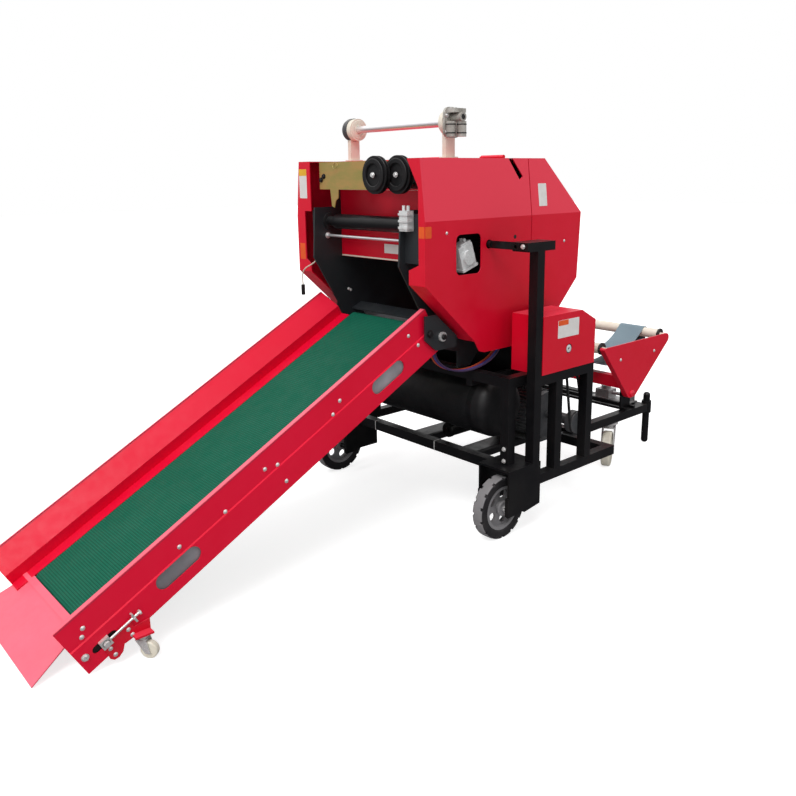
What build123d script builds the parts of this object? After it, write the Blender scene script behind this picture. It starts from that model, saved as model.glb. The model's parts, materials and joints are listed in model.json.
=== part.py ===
from build123d import *
import math
import os

# A small stationary silage round baler with a feed conveyor and a wrapping cradle.
# Millimetres. x runs across the machine (+x is the drive side), y from the mouth (-y)
# to the wrapping cradle (+y), z up from the floor. y = 0 is the front of the wheel brackets.

# Chassis
half_width = 583         # centre line to the outer face of a wheel bracket
tube = 40                # square tube of the frame
rail_z = 193             # underside of the bottom rails
rail_end = 687           # rear end of the bottom rails
front_beam_y = 50        # front face of the front cross beam
bracket_width = 158
bracket_depth = 185
bracket_top = 288
bracket_low = 100
bracket_rear_low = 113
bracket_nose = 150
bracket_plate = 8
post_inset = 93          # outer face of the bracket to the inner face of a front post
post_y = 137
mid_post_y = 270
rear_post_y = 470
upper_beam_top = 634
post_top = 1108
arm_box_half = 75        # half length of the box on top of the support post
arm_box_wall = 4
arm_hole_d = 14

# Front wheels
wheel_d = 250
wheel_width = 50
wheel_y = 18
wheel_inset = 67         # outer face of the bracket to the middle of the tyre
rim_d = 176
axle_d = 20
run_gap = 0.3            # running clearance round pins and axles

# Platform that carries the cradle
platform_half = 360
platform_z = 208
platform_end = 1304
leg_d = 34
leg_low = 38
leg_top = 302
sleeve_wall = 7

# Rear casters: wheel, fork plates and swivel
caster_wheel_d = 170
caster_wheel_w = 42
caster_trail = 45
caster_y = 1030
caster_inset = 36
caster_axle = 16
caster_turn = 208        # degrees the parked forks are turned from straight back

# Chamber: a bale of this size turns between the side plates
chamber_y = 205
chamber_z = 1060
chamber_r = 282
chamber_half = 260       # centre line to the inner face of a chamber plate
chamber_plate = 8
roller_d = 56
seam_y = 326             # where the tailgate meets the fixed body
seam_gap = 4
hinge_d = 16             # knuckles of the tailgate hinge
hinge_pin = 8

# Outer body sheets
panel_room = 131         # inner face of a chamber plate to the outer face of the side panel
sheet = 4
front_y = -248
body_top = 1443
bend_z = 1225
belly_z = 714
top_inset = 25           # how far the top edge leans in from the bend line
roof_flange = 60
front_low_z = 998
flange_low_z = 1050
low_front_y = 9
low_front_z = 762
mouth_flange = {"left": 100, "right": 34}

# Conveyor, measured along its lips (run) and square to them (above)
belt_half = 188
belt_sheet = 4
drum_d = 50
wall_x = 244             # centre line to the inner wall beside the belt
wall_h = 38
lip_x = 322              # centre line to the inner side of the outer plate
joggle = 4               # step in the outer plate
joggle_depth = 80
bed_drop = 100           # belt surface below the lip
outer_depth = 175
lip_top = (-190, 905)    # y and z of the top end of the lip line
lip_low = (-1600, 162)
drum_first = -10         # along the lip
drum_last = 1508
shaft_d = 24
boss_d = 48
lobe_d = 60              # rounded ear of the outer plate round the pivot
pivot_d = 24
lug_gap = 6              # between the outer plate and the lug on the body
lug_plate = 8
slot_length = 165
slot_height = 55
slot_above = -112
slots_at = (268, 1225)
foot_wheel_d = 54
foot_wheel_w = 22
foot_x = 342
foot_y = -1358
foot_trail = 20
foot_axle = 8
foot_turn = 50
apron_half = 285
apron_tip = (-1662, 8)

# Wrapping cradle
cradle_inset = 8         # edge of the platform to the inner face of an end plate
cradle_plate = 6
cradle_flange = 28
cradle_pivot_y = 1160
cradle_pivot_z = 330
cradle_top_z = 590
cradle_front_y = 905
cradle_rear_y = 1510
cradle_roller_d = 50
cradle_roller_y = (938, 1436)
cradle_roller_z = 582
cradle_belt_x = 170
cradle_belt_width = 140

# Film roll holder on the roof
holder_y = -15
holder_left_inset = 82   # edge of the roof to the inner face of the left post
holder_right_inset = 104
holder_boss = 26         # disc on the inner side of the left post
holder_rise = 127        # roof to the axis of the bar
holder_bar_d = 28
holder_disc_d = 88

# Mouth
front_panel_z = (1058, 1335)
floor_front = (-72, 826)     # lower front edge of the feed floor, y and z
floor_rear = (-24, 848)
floor_plate = 6
feed_roller_d = 60
feed_roller_y = -178
feed_roller_z = 1205
feed_roller_left = 205
guide_rod_z = 1147
disc_d = 137
disc_z = 1387

# Drive side
cover_out = 586
cover_rear = 506
cover_top = 860
cover_shaft_y = 338
cover_shaft_z = 716
tank_d = 250
tank_y = 170
tank_z = 468
motor_d = 200
pulley_y = 476
pulley_z = 372
pulley_d = 95

# Hoses and the hanging lead
hose_d = 8
hose_pitch = 9
lead_d = 5
plug_d = 16
plug_length = 44

slope = math.atan2(lip_top[1] - lip_low[1], lip_top[0] - lip_low[0])
run = (0, -math.cos(slope), -math.sin(slope))     # down the conveyor
lip_length = math.hypot(lip_top[1] - lip_low[1], lip_top[0] - lip_low[0])
drum_above = -bed_drop - belt_sheet - drum_d / 2

wheel_x = half_width - wheel_inset
cradle_half = platform_half - cradle_inset
caster_x = platform_half - caster_inset
body_half = chamber_half + panel_room
roof_half = body_half - top_inset
holder_z = body_top + holder_rise
holder_left = roof_half - holder_left_inset
holder_right = roof_half - holder_right_inset
outer_x = lip_x + sheet + joggle                  # outer face of the conveyor's outer plate
lug_x = outer_x + lug_gap
platform_top = platform_z + tube

sides = {"left": -1, "right": 1}
pieces = {}

os.makedirs("parts", exist_ok=True)


def bar(x, y, z, mode=Mode.ADD):
    """Add a straight bar between the given limits to the part being built."""
    with Locations((sum(x) / 2, sum(y) / 2, sum(z) / 2)):
        Box(x[1] - x[0], y[1] - y[0], z[1] - z[0], mode=mode)


def cross_rod(x, y, z, diameter, mode=Mode.ADD):
    """Add a rod along x between the given limits to the part being built."""
    with Locations(Location((sum(x) / 2, y, z), (0, 90, 0))):
        Cylinder(diameter / 2, x[1] - x[0], mode=mode)


def long_rod(x, y, z, diameter, mode=Mode.ADD):
    """Add a rod along y between the given limits to the part being built."""
    with Locations(Location((x, sum(y) / 2, z), (90, 0, 0))):
        Cylinder(diameter / 2, y[1] - y[0], mode=mode)


def plate(outline, x, mode=Mode.ADD):
    """Add a flat plate with an outline in y and z between two x limits."""
    with BuildSketch(Plane.YZ.offset(x[0])) as face:
        with BuildLine():
            Polyline(*outline, close=True)
        make_face()
    extrude(to_extrude=face.sketch, amount=x[1] - x[0], mode=mode)


def span(a, b):
    """Limits in rising order, so that a mirrored side keeps them valid."""
    return (min(a, b), max(a, b))


def panel_x(z):
    """Outer face of a body panel at a height above the bend line."""
    return body_half - top_inset * (max(z, bend_z) - bend_z) / (body_top - bend_z)


def on_slope(along, above):
    """y and z of a point on the conveyor, measured from the top of its lip line."""
    return (lip_top[0] - along * math.cos(slope) - above * math.sin(slope),
            lip_top[1] - along * math.sin(slope) + above * math.cos(slope))


def slope_bar(x, along, above, mode=Mode.ADD):
    """Add a bar that lies along the conveyor."""
    corners = ((along[0], above[0]), (along[1], above[0]), (along[1], above[1]), (along[0], above[1]))
    plate([on_slope(*corner) for corner in corners], x, mode)


def save(part, label):
    """Keep a finished piece under its name until all of them are known."""
    part.label = label
    pieces[label] = part


def turned_plane(x, y, turn, edge):
    """Upright plane across a caster's axle, at a distance from its swivel axis."""
    angle = math.radians(turn)
    across = (math.cos(angle), math.sin(angle), 0)
    return Plane(origin=(x + edge * across[0], y + edge * across[1], 0),
                 x_dir=(-across[1], across[0], 0), z_dir=across)


def caster(x, y, turn, wheel_size, width, trail, mount_z, axle, gap, thick, label):
    """Swivel fork and solid wheel of a caster, parked at the given turn."""
    swivel = Location((x, y, 0), (0, 0, turn))
    axle_z = wheel_size / 2
    inside = width / 2 + gap
    bridge = wheel_size + 2 * gap
    with BuildPart() as fork:
        with Locations(swivel * Location((0, 0, bridge + thick / 2))):
            Box(2 * inside + 2 * thick, 2 * axle * 2.2, thick)
        with Locations(swivel * Location((0, 0, (bridge + mount_z) / 2))):
            Cylinder(axle * 1.4, mount_z - bridge)
        with Locations(swivel * Location((0, 0, mount_z - thick))):
            Cylinder(axle * 2.6, 2 * thick)
        for edge in (-inside - thick, inside):
            with BuildSketch(turned_plane(x, y, turn, edge)):
                with BuildLine():
                    Polyline((-2.2 * axle, bridge + thick), (2.2 * axle, bridge + thick),
                             (trail + axle, axle_z - axle), (trail - axle, axle_z - axle), close=True)
                make_face()
            extrude(amount=thick)
        with Locations(swivel * Location((0, trail, axle_z), (0, 90, 0))):
            Cylinder(axle / 2, 2 * inside + 2 * thick)
    save(fork.part, f"{label}_fork")
    with BuildPart() as wheel:
        with Locations(swivel * Location((0, trail, axle_z), (0, 90, 0))):
            Cylinder(wheel_size / 2, width)
            Cylinder(axle / 2 + run_gap, width, mode=Mode.SUBTRACT)
        fillet(wheel.edges().filter_by(GeomType.CIRCLE).sort_by(SortBy.RADIUS)[-2:], width / 5)
    save(wheel.part, f"{label}_wheel")


def bend_radii(points):
    """Largest even radius at each inner corner of a cord's route."""
    radii = []
    for before, corner, after in zip(points, points[1:], points[2:]):
        arrive = Vector(*corner) - Vector(*before)
        leave = Vector(*after) - Vector(*corner)
        turn = math.radians(arrive.get_angle(leave))
        radii.append(0.45 * min(arrive.length, leave.length) / math.tan(turn / 2))
    return radii


def cord_tube(points, diameter, label):
    """Tube of straight runs joined by tangent arcs along a cord's route."""
    radii = bend_radii(points)
    print(label, "radii", [round(radius) for radius in radii])
    with BuildPart() as cord:
        with BuildLine():
            route = FilletPolyline(*points, radius=radii)
        with BuildSketch(Plane(origin=points[0], z_dir=route % 0)):
            Circle(diameter / 2)
        sweep()
    return cord.part


# Chassis frame: bottom rails, cross beams, posts and the upper beams that carry the chamber
rail_x = half_width - tube
rail_top = rail_z + tube
rear_beam_y = rail_end - tube
front_post_x = half_width - post_inset
upper_z = upper_beam_top - tube
with BuildPart() as frame:
    for side in (-1, 1):
        outer = span(side * rail_x, side * half_width)
        bar(outer, (bracket_depth, rail_end), (rail_z, rail_top))
        bar(outer, (mid_post_y, mid_post_y + tube), (rail_top, upper_z))
        bar(outer, (rear_post_y, rear_post_y + tube), (rail_top, upper_z))
        bar(outer, (post_y + tube, rear_post_y + tube), (upper_z, upper_beam_top))
        post = span(side * front_post_x, side * (front_post_x + tube))
        bar(post, (front_beam_y + tube, rear_post_y), (upper_z, upper_beam_top))
        bar(post, (front_beam_y, front_beam_y + tube), (bracket_top, upper_z))
    bar((-rail_x, rail_x), (rear_beam_y, rail_end), (rail_z, rail_top))
    bar((-half_width + bracket_width, half_width - bracket_width),
        (front_beam_y, front_beam_y + tube), (bracket_top - tube, bracket_top))
    bar((-front_post_x - tube, front_post_x + tube), (front_beam_y, front_beam_y + tube), (upper_z, upper_beam_top))
    bar((-rail_x, rail_x), (rear_post_y, rear_post_y + tube), (upper_z, upper_beam_top))
    bar((-half_width, -rail_x), (post_y, post_y + tube), (bracket_top, upper_beam_top))
save(frame.part, "chassis_frame")

# Wheel brackets: an inverted channel at each front corner, bolted to the front beam
bracket_outline = [(0, bracket_top), (bracket_depth, bracket_top), (bracket_depth, bracket_rear_low),
                   (bracket_depth / 2, bracket_low), (0, bracket_nose)]
bracket_in = half_width - bracket_width
cheek_half = 22
with BuildPart() as brackets:
    for side in (-1, 1):
        bar(span(side * bracket_in, side * half_width), (0, bracket_depth),
            (bracket_top - bracket_plate, bracket_top))
        plate(bracket_outline, span(side * (half_width - bracket_plate), side * half_width))
        bar(span(side * bracket_in, side * (bracket_in + bracket_plate)), (0, bracket_depth),
            (bracket_rear_low, bracket_top))
        bar(span(side * bracket_in, side * half_width), (bracket_depth - bracket_plate, bracket_depth),
            (rail_z, bracket_top))
        cross_rod(span(side * bracket_in, side * half_width), wheel_y, wheel_d / 2, axle_d)
        for x in (bracket_in, half_width - 2 * bracket_plate):
            cheek = span(side * x, side * (x + 2 * bracket_plate))
            bar(cheek, (wheel_y - cheek_half, front_beam_y + 10), (wheel_d / 2 - cheek_half, bracket_nose + 30))
save(brackets.part, "wheel_brackets")

# Front wheels: a solid rubber tyre on a cast rim with round openings
for name, side in sides.items():
    hub = Plane(origin=(side * wheel_x, wheel_y, wheel_d / 2), x_dir=(0, 1, 0), z_dir=(1, 0, 0))
    with BuildPart() as tyre:
        with BuildSketch(hub):
            Circle(wheel_d / 2)
            Circle(rim_d / 2, mode=Mode.SUBTRACT)
        extrude(amount=wheel_width / 2, both=True)
        fillet(tyre.edges().filter_by(GeomType.CIRCLE).sort_by(SortBy.RADIUS)[-2:], wheel_width / 6)
    save(tyre.part, f"{name}_tyre")
    with BuildPart() as rim:
        with BuildSketch(hub):
            Circle(rim_d / 2)
            Circle(rim_d / 2 - 12, mode=Mode.SUBTRACT)
        extrude(amount=wheel_width / 2 - 4, both=True)
        with BuildSketch(hub):
            Circle(rim_d / 2 - 10)
            with PolarLocations(rim_d * 0.3, 5):
                Circle(rim_d * 0.1, mode=Mode.SUBTRACT)
        extrude(amount=5, both=True)
        with BuildSketch(hub):
            Circle(axle_d * 1.2)
        extrude(amount=wheel_width / 2, both=True)
        with BuildSketch(hub):
            Circle(axle_d / 2 + run_gap)
        extrude(amount=wheel_width, both=True, mode=Mode.SUBTRACT)
    save(rim.part, f"{name}_rim")

# Platform: two long beams and cross beams behind the chassis, with leg sleeves
leg_y = platform_end + leg_d / 2 + sleeve_wall - 2
leg_x = platform_half - tube / 2
with BuildPart() as platform:
    for side in (-1, 1):
        beam = span(side * (platform_half - tube), side * platform_half)
        bar(beam, (rail_end, platform_end), (platform_z, platform_top))
        with Locations((side * leg_x, leg_y, platform_z + tube / 2)):
            Cylinder(leg_d / 2 + sleeve_wall, tube * 1.5)
            Cylinder(leg_d / 2 + run_gap, tube * 1.5, mode=Mode.SUBTRACT)
    for y in (rail_end, rail_end + 153, platform_end - tube):
        bar((-platform_half, platform_half), (y, y + tube), (platform_z, platform_top))
save(platform.part, "platform_frame")

# Parking legs: round-ended bars held up in their sleeves
with BuildPart() as legs:
    for side in (-1, 1):
        with Locations((side * leg_x, leg_y, (leg_low + leg_top) / 2)):
            Cylinder(leg_d / 2, leg_top - leg_low)
    fillet(legs.edges().filter_by(GeomType.CIRCLE), leg_d / 2 - 2)
save(legs.part, "parking_legs")

# Wrapping drive: a small gear motor with its shaft, on the platform
drive_plate = 6
drive_x = (80, 300)
drive_y = (platform_end - 82, platform_end)
with BuildPart() as wrap_drive:
    bar(drive_x, drive_y, (platform_top, platform_top + drive_plate))
    bar((100, 180), (drive_y[0] + 6, drive_y[1] - 8), (platform_top + drive_plate, platform_top + 48))
    with Locations((140, sum(drive_y) / 2, platform_top + 54)):
        Cylinder(24, 24)
    cross_rod((180, 296), sum(drive_y) / 2, platform_top + 32, 18)
    bar((268, 296), (drive_y[0] + 16, drive_y[1] - 16), (platform_top + drive_plate, platform_top + 52))
save(wrap_drive.part, "wrap_drive")

# Rear casters: swivel fork and a solid wheel
for name, side in sides.items():
    caster(side * caster_x, caster_y, side * caster_turn, caster_wheel_d, caster_wheel_w, caster_trail,
           platform_z - run_gap, caster_axle, 5, 4, f"{name}_caster")

# Support post, the open box on its top and the flat arm that reaches into the body
arm_z = post_top + 20
arm_thick = 8
box_y = (post_y - 51, post_y - 51 + 2 * arm_box_half)
box_x = (half_width - 2 * tube, half_width)
box_z = (post_top, post_top + tube - 6)
wall = arm_box_wall
arm_end = body_half - 10
with BuildPart() as post:
    bar((rail_x, half_width), (post_y, post_y + tube), (bracket_top, post_top))
    bar(box_x, box_y, box_z)
    bar((box_x[0] + wall, box_x[1] - wall), (box_y[0], box_y[1] - wall), (box_z[0] + wall, box_z[1] - wall),
        mode=Mode.SUBTRACT)
    bar((arm_end, half_width), (box_y[0] - arm_thick, box_y[0]), (arm_z - 14, arm_z + 14))
    cross_rod((chamber_half + chamber_plate, arm_end + 24), box_y[0] - 4, arm_z, 24)
    long_rod(box_x[0] + 20, (box_y[0] - 2 * arm_thick, box_y[0]), arm_z - 3, arm_hole_d, mode=Mode.SUBTRACT)
save(post.part, "support_post")

# Side panels: one folded sheet each, with the front flange and the low flange
panel_outline = [(front_y, body_top), (front_y, front_low_z), (low_front_y, low_front_z), (low_front_y + 25, 722),
                 (low_front_y + 53, belly_z), (seam_y, belly_z), (seam_y, body_top)]
flange_inset = 87        # side panel to the inner edge of the front flange
recess_inset = 55        # the same on the left, where a recess narrows the flange
flange_in = body_half - flange_inset
recess_x = body_half - recess_inset
recess_z = 1246
window = (-27, 1098)
window_size = (132, 148)
arm_slot = [(204, body_top + 10), (228, body_top + 10), (290, 1374), (270, 1360)]
for name, side in sides.items():
    with BuildPart() as panel:
        with BuildSketch(Plane.YZ):
            with BuildLine():
                Polyline(*panel_outline, close=True)
            make_face()
        extrude(amount=body_half, dir=(side, 0, 0))
        with BuildSketch(Plane.XZ.offset(-front_y)):
            with BuildLine():
                Polyline((side * body_half, 0), (side * body_half, bend_z), (side * roof_half, body_top),
                         (side * (roof_half - roof_flange), body_top),
                         (side * (roof_half - roof_flange), body_top - sheet),
                         (side * (roof_half - sheet), body_top - sheet),
                         (side * (body_half - sheet), bend_z), (side * (body_half - sheet), 0), close=True)
            make_face()
        extrude(amount=2 * front_y - seam_y, mode=Mode.INTERSECT)
        with BuildSketch(Plane.XZ.offset(-front_y)):
            inner = body_half - mouth_flange[name]
            with BuildLine():
                if side > 0:
                    edge = [(inner - 58, body_top), (inner, body_top - 100), (inner, flange_low_z + 22),
                            (flange_in, flange_low_z), (flange_in, front_low_z)]
                else:
                    edge = [(inner, body_top), (inner, recess_z), (recess_x, recess_z), (recess_x, flange_low_z),
                            (flange_in, flange_low_z - 20), (flange_in, front_low_z)]
                edge = [(body_half, front_low_z), (body_half, bend_z), (roof_half, body_top)] + edge
                Polyline(*[(side * x, z) for x, z in edge], close=True)
            make_face()
        extrude(amount=-sheet)
        plate([(front_y, front_low_z), (low_front_y, low_front_z), (low_front_y + sheet, low_front_z + 2),
               (front_y + sheet, front_low_z + 3)], span(side * flange_in, side * body_half))
        plate(arm_slot, span(side * (roof_half - roof_flange - 10), side * (body_half + 10)), mode=Mode.SUBTRACT)
        if side > 0:
            with BuildSketch(Plane.YZ.offset(body_half - 40)):
                with Locations(window):
                    RectangleRounded(*window_size, 22)
                with Locations((box_y[0] - 4, arm_z)):
                    Circle(17)
            extrude(amount=80, mode=Mode.SUBTRACT)
    save(panel.part, f"{name}_side_panel")

# Top cover between the two side panels, with its hinge knuckles and pins
hinge_y = seam_y + seam_gap / 2
hinge_z = body_top + hinge_d / 2 + run_gap
cover_edge = roof_half - roof_flange - run_gap
knuckle_in = 180
knuckle_out = 240
with BuildPart() as cover:
    bar((-cover_edge, cover_edge), (-100, seam_y), (body_top - sheet, body_top))
    for side in (-1, 1):
        bar(span(side * (cover_edge - 65), side * (cover_edge + 25)), (-60, seam_y - 130),
            (body_top - 2 * sheet - run_gap, body_top - sheet - run_gap))
        bar(span(side * (cover_edge - 65), side * cover_edge), (-60, seam_y - 130),
            (body_top - 2 * sheet, body_top - sheet))
        bar(span(side * knuckle_in, side * knuckle_out), (seam_y - 26, seam_y), (body_top, body_top + 4))
        cross_rod(span(side * knuckle_in, side * knuckle_out), hinge_y, hinge_z, hinge_d)
        cross_rod(span(side * (knuckle_in - 70), side * knuckle_out), hinge_y, hinge_z, hinge_pin)
save(cover.part, "top_cover")

# Chamber plates either side of the bale, with the lugs outside the conveyor that hold its pivot
pivot_y, pivot_z = on_slope(drum_first, drum_above)
plate_outline = [(-250, 1262), (-262, 1061), (-148, 868), (-152, 840), (-152, 770), (-125, 748), (40, 700),
                 (40, upper_beam_top), (110, upper_beam_top), (160, 690), (seam_y - seam_gap, 690),
                 (seam_y - seam_gap, body_top - 12), (-100, body_top - 12), (-150, 1262)]
lug_outline = [(-205, 790), (-205, 880), (-150, 880), (-50, 795), (-50, 745), (-150, 745)]
clip_z = 746
plate_out = chamber_half + chamber_plate
with BuildPart() as plates:
    for name, side in sides.items():
        plate(plate_outline, span(side * chamber_half, side * plate_out))
        plate(lug_outline, span(side * lug_x, side * (lug_x + lug_plate)))
        bar(span(side * plate_out, side * lug_x), (-70, -35), (745, 790))
        mouth_edge = body_half - mouth_flange[name] + (-6 if side > 0 else 12)
        bar(span(side * chamber_half, side * mouth_edge), (-232, -224), (1073, 1250))
        bar(span(side * chamber_half, side * (body_half - sheet)), (seam_y - 60, seam_y - 30), (740, 770))
        bar(span(side * chamber_half, side * (panel_x(1330) - sheet - run_gap)), (-60, -30), (1300, 1330))
        cross_rod(span(side * chamber_half, side * plate_out), pivot_y, pivot_z, shaft_d + 12, mode=Mode.SUBTRACT)
        cross_rod(span(side * lug_x, side * (lug_x + lug_plate)), pivot_y, pivot_z, pivot_d + 2 * run_gap,
                  mode=Mode.SUBTRACT)
    bar((plate_out, lip_x - 6), (-135, -115), (clip_z, clip_z + 14))
    bar((plate_out, body_half - 8), (165, 185), (belly_z + 2, belly_z + 14))
save(plates.part, "chamber_plates")


def chamber_rollers(angles, label):
    """Steel rollers on the chamber circle, each on a thinner shaft through both plates."""
    with BuildPart() as rollers:
        for angle in angles:
            y = chamber_y + (chamber_r + roller_d / 2) * math.cos(math.radians(angle))
            z = chamber_z + (chamber_r + roller_d / 2) * math.sin(math.radians(angle))
            cross_rod((-chamber_half + 2, chamber_half - 2), y, z, roller_d)
            cross_rod((-chamber_half, chamber_half), y, z, roller_d * 0.45)
    save(rollers.part, label)


chamber_rollers((98, 122, 146, 232, 252, 272), "chamber_rollers")

# Feed floor: the black slide from the conveyor into the chamber
with BuildPart() as floor:
    plate([floor_front, floor_rear, (floor_rear[0], floor_rear[1] + floor_plate),
           (floor_front[0], floor_front[1] + floor_plate)], (-chamber_half, chamber_half))
save(floor.part, "feed_floor")

# Front panel behind the feed roller
panel_back = -112
with BuildPart() as front_panel:
    bar((-chamber_half, chamber_half), (panel_back - 6, panel_back), front_panel_z)
    bar((-chamber_half, chamber_half), (panel_back - 26, panel_back - 6),
        (front_panel_z[1] - sheet, front_panel_z[1]))
save(front_panel.part, "front_panel")

# Twine plate with its finger
twine_x = (-262, 43)
twine_y = -220
twine_low = 1333
with BuildPart() as twine_plate:
    bar(twine_x, (twine_y, twine_y + sheet), (twine_low, body_top - sheet))
    bar(twine_x, (twine_y, -96), (body_top - 2 * sheet, body_top - sheet))
    with BuildSketch(Plane.XZ.offset(-twine_y - sheet)):
        with BuildLine():
            Polyline((-196, twine_low + 20), (-136, twine_low + 20), (-142, 1300), (-158, 1290), (-168, 1262),
                     (-184, 1268), (-188, 1300), close=True)
        make_face()
    extrude(amount=sheet)
save(twine_plate.part, "twine_plate")

# Two grooved discs on their spindles
disc_rim = 6
disc_groove = 8
with BuildPart() as discs:
    for x, y in ((128, -256), (222, -226)):
        long_rod(x, (y, y + disc_rim), disc_z, disc_d)
        long_rod(x, (y + disc_rim, y + disc_rim + disc_groove), disc_z, disc_d - 24)
        long_rod(x, (y + disc_rim + disc_groove, y + 2 * disc_rim + disc_groove), disc_z, disc_d)
        long_rod(x, (y - 6, -104), disc_z, 18)
    bar((96, 254), (-104, -96), (1360, body_top - sheet))
save(discs.part, "twine_discs")

with BuildPart() as feed_roller:
    cross_rod((-feed_roller_left, chamber_half - 3), feed_roller_y, feed_roller_z, feed_roller_d)
    cross_rod((-chamber_half, chamber_half), feed_roller_y, feed_roller_z, 26)
    cross_rod((-chamber_half, chamber_half), feed_roller_y - 12, guide_rod_z, 11)
save(feed_roller.part, "feed_roller")

# Air valve on the right front flange of the mouth
with BuildPart() as mouth_valve:
    bar((271, 315), (-262, -232), (1190, 1262))
    for z in (1202, 1226, 1250):
        bar((269, 319), (-266, -240), (z - 4, z + 4))
    for x in (281, 305):
        with Locations((x, -248, 1270)):
            Cylinder(6, 20)
save(mouth_valve.part, "mouth_valve")

# Air cylinder behind the side window, on a block from the chamber plate
cylinder_turn = 18
with BuildPart() as window_cylinder:
    cross_rod((plate_out, 336), window[0] + 4, window[1] - 8, 30)
    with Locations(Location((358, window[0] + 4, window[1] - 8), (cylinder_turn, 0, 0))):
        Box(44, 74, 84)
        with Locations((0, 0, -46)):
            Box(50, 80, 10)
        with Locations((0, 8, 46)):
            Box(40, 52, 10)
        with Locations((-8, 14, 56), (8, 14, 56)):
            Cylinder(6, 14)
        with Locations(Location((26, 0, -4), (0, 90, 0))):
            Cylinder(27, 14)
save(window_cylinder.part, "window_cylinder")

# Gear cover on the drive side
cover_in = body_half + 39
with BuildPart() as gear:
    plate([(post_y + tube, upper_beam_top), (cover_rear, upper_beam_top), (cover_rear, cover_top - 48),
           (cover_rear - 90, cover_top), (post_y + tube, cover_top)], (cover_in, cover_out))
    cross_rod((cover_out - 10, cover_out), cover_shaft_y, cover_shaft_z, 38, mode=Mode.SUBTRACT)
    cross_rod((cover_out - 12, cover_out - 2), cover_shaft_y, cover_shaft_z, 22)
save(gear.part, "gear_cover")

# Air tank under the chamber
with BuildPart() as tank:
    cross_rod((-330, 400), tank_y, tank_z, tank_d)
    fillet(tank.edges().filter_by(GeomType.CIRCLE), 40)
    for x in (-250, 320):
        bar((x - 15, x + 15), (front_beam_y, 290), (upper_z - 25, upper_z))
save(tank.part, "air_tank")

# Motor rails on the frame, the drive motor with its double pulley
rail_low = rail_top
rail_high = rail_top + 35
motor_rails = ((-100, 0), (200, 300))
with BuildPart() as rails:
    for x in motor_rails:
        bar(x, (front_beam_y + tube, rail_end), (rail_low, rail_high))
    fillet(rails.edges().filter_by(Axis.Y).group_by(Axis.Z)[-1], 12)
save(rails.part, "motor_rails")

pulley_x = (505, 542.5)
belt_x = (531.5, 539.5)
groove_r = pulley_d / 2 - 8
with BuildPart() as motor:
    bar((-100, 400), (pulley_y - 90, pulley_y + 90), (rail_high, rail_high + 8))
    for x in (160, 330):
        bar((x, x + 30), (pulley_y - 70, pulley_y + 70), (rail_high + 8, pulley_z - motor_d / 2 + 20))
    cross_rod((140, 380), pulley_y, pulley_z, motor_d)
    cross_rod((126, 140), pulley_y, pulley_z, motor_d - 30)
    cross_rod((380, pulley_x[0]), pulley_y, pulley_z, 30)
    cross_rod(pulley_x, pulley_y, pulley_z, pulley_d)
    with BuildSketch(Plane.YZ.offset(belt_x[0] - run_gap)):
        with Locations((pulley_y, pulley_z)):
            Circle(pulley_d)
            Circle(groove_r, mode=Mode.SUBTRACT)
    extrude(amount=belt_x[1] - belt_x[0] + 2 * run_gap, mode=Mode.SUBTRACT)
save(motor.part, "drive_motor")

# Drive belt from the pulley up between the beams into the gear cover
belt_in = groove_r + run_gap
belt_out = groove_r + 8
belt_heads = {-1: 388, 1: 452}
with BuildPart() as drive_belt:
    for lean, head in belt_heads.items():
        near = pulley_y + lean * belt_in * 1.04
        far = pulley_y + lean * belt_out * 1.04
        plate([(near, pulley_z), (far, pulley_z), (head + 4 * lean, upper_beam_top - run_gap),
               (head - 4 * lean, upper_beam_top - run_gap)], belt_x)
    with BuildSketch(Plane.YZ.offset(belt_x[0])):
        with Locations((pulley_y, pulley_z)):
            Circle(belt_out)
            Circle(belt_in, mode=Mode.SUBTRACT)
        with Locations((pulley_y, pulley_z + pulley_d / 2)):
            Rectangle(pulley_d * 1.2, pulley_d, mode=Mode.SUBTRACT)
    extrude(amount=belt_x[1] - belt_x[0])
save(drive_belt.part, "drive_belt")

# Roll holder on the roof, its clamp and the bar that turns in it
post_wide = 20
holder_posts = ((-holder_left - post_wide, -holder_left), (holder_right, holder_right + post_wide))
holder_bar_out = (-holder_left - post_wide - 10, holder_right + post_wide)
with BuildPart() as holder:
    for post in holder_posts:
        bar(post, (holder_y - 23, holder_y + 23), (body_top, holder_z))
        bar((post[0] - 8, post[1] + 8), (holder_y - 32, holder_y + 32), (body_top, body_top + 6))
        cross_rod(post, holder_y, holder_z, holder_disc_d)
    cross_rod((-holder_left, -holder_left + holder_boss), holder_y, holder_z, holder_disc_d)
    cross_rod((-holder_left - post_wide - 10, -holder_left - post_wide), holder_y, holder_z, holder_disc_d - 8)
    cross_rod((-body_half, body_half), holder_y, holder_z, holder_bar_d + 2 * run_gap, mode=Mode.SUBTRACT)
save(holder.part, "roll_holder")

with BuildPart() as roll_bar:
    cross_rod(holder_bar_out, holder_y, holder_z, holder_bar_d)
save(roll_bar.part, "roll_bar")

clamp_x = (holder_right + post_wide + run_gap, holder_right + post_wide + 10)
clamp_reach = clamp_x[1] + 52
with BuildPart() as clamp:
    with BuildSketch(Plane.YZ.offset(clamp_x[0])):
        with Locations((holder_y, holder_z)):
            RectangleRounded(80, 108, 24)
    extrude(amount=clamp_x[1] - clamp_x[0])
    cross_rod((clamp_x[1], clamp_reach), holder_y + 4, holder_z + 18, 32)
    cross_rod((clamp_reach - 30, clamp_reach), holder_y + 4, holder_z + 18, 19, mode=Mode.SUBTRACT)
    for x, y in ((clamp_x[1] + 14, holder_y - 22), (clamp_x[1] + 34, holder_y + 14)):
        with Locations((x, y, holder_z - 24)):
            Cylinder(17, 54)
    bar((clamp_x[1], clamp_x[1] + 40), (holder_y - 30, holder_y + 30), (holder_z + 33, holder_z + 48))
save(clamp.part, "roof_clamp")

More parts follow.
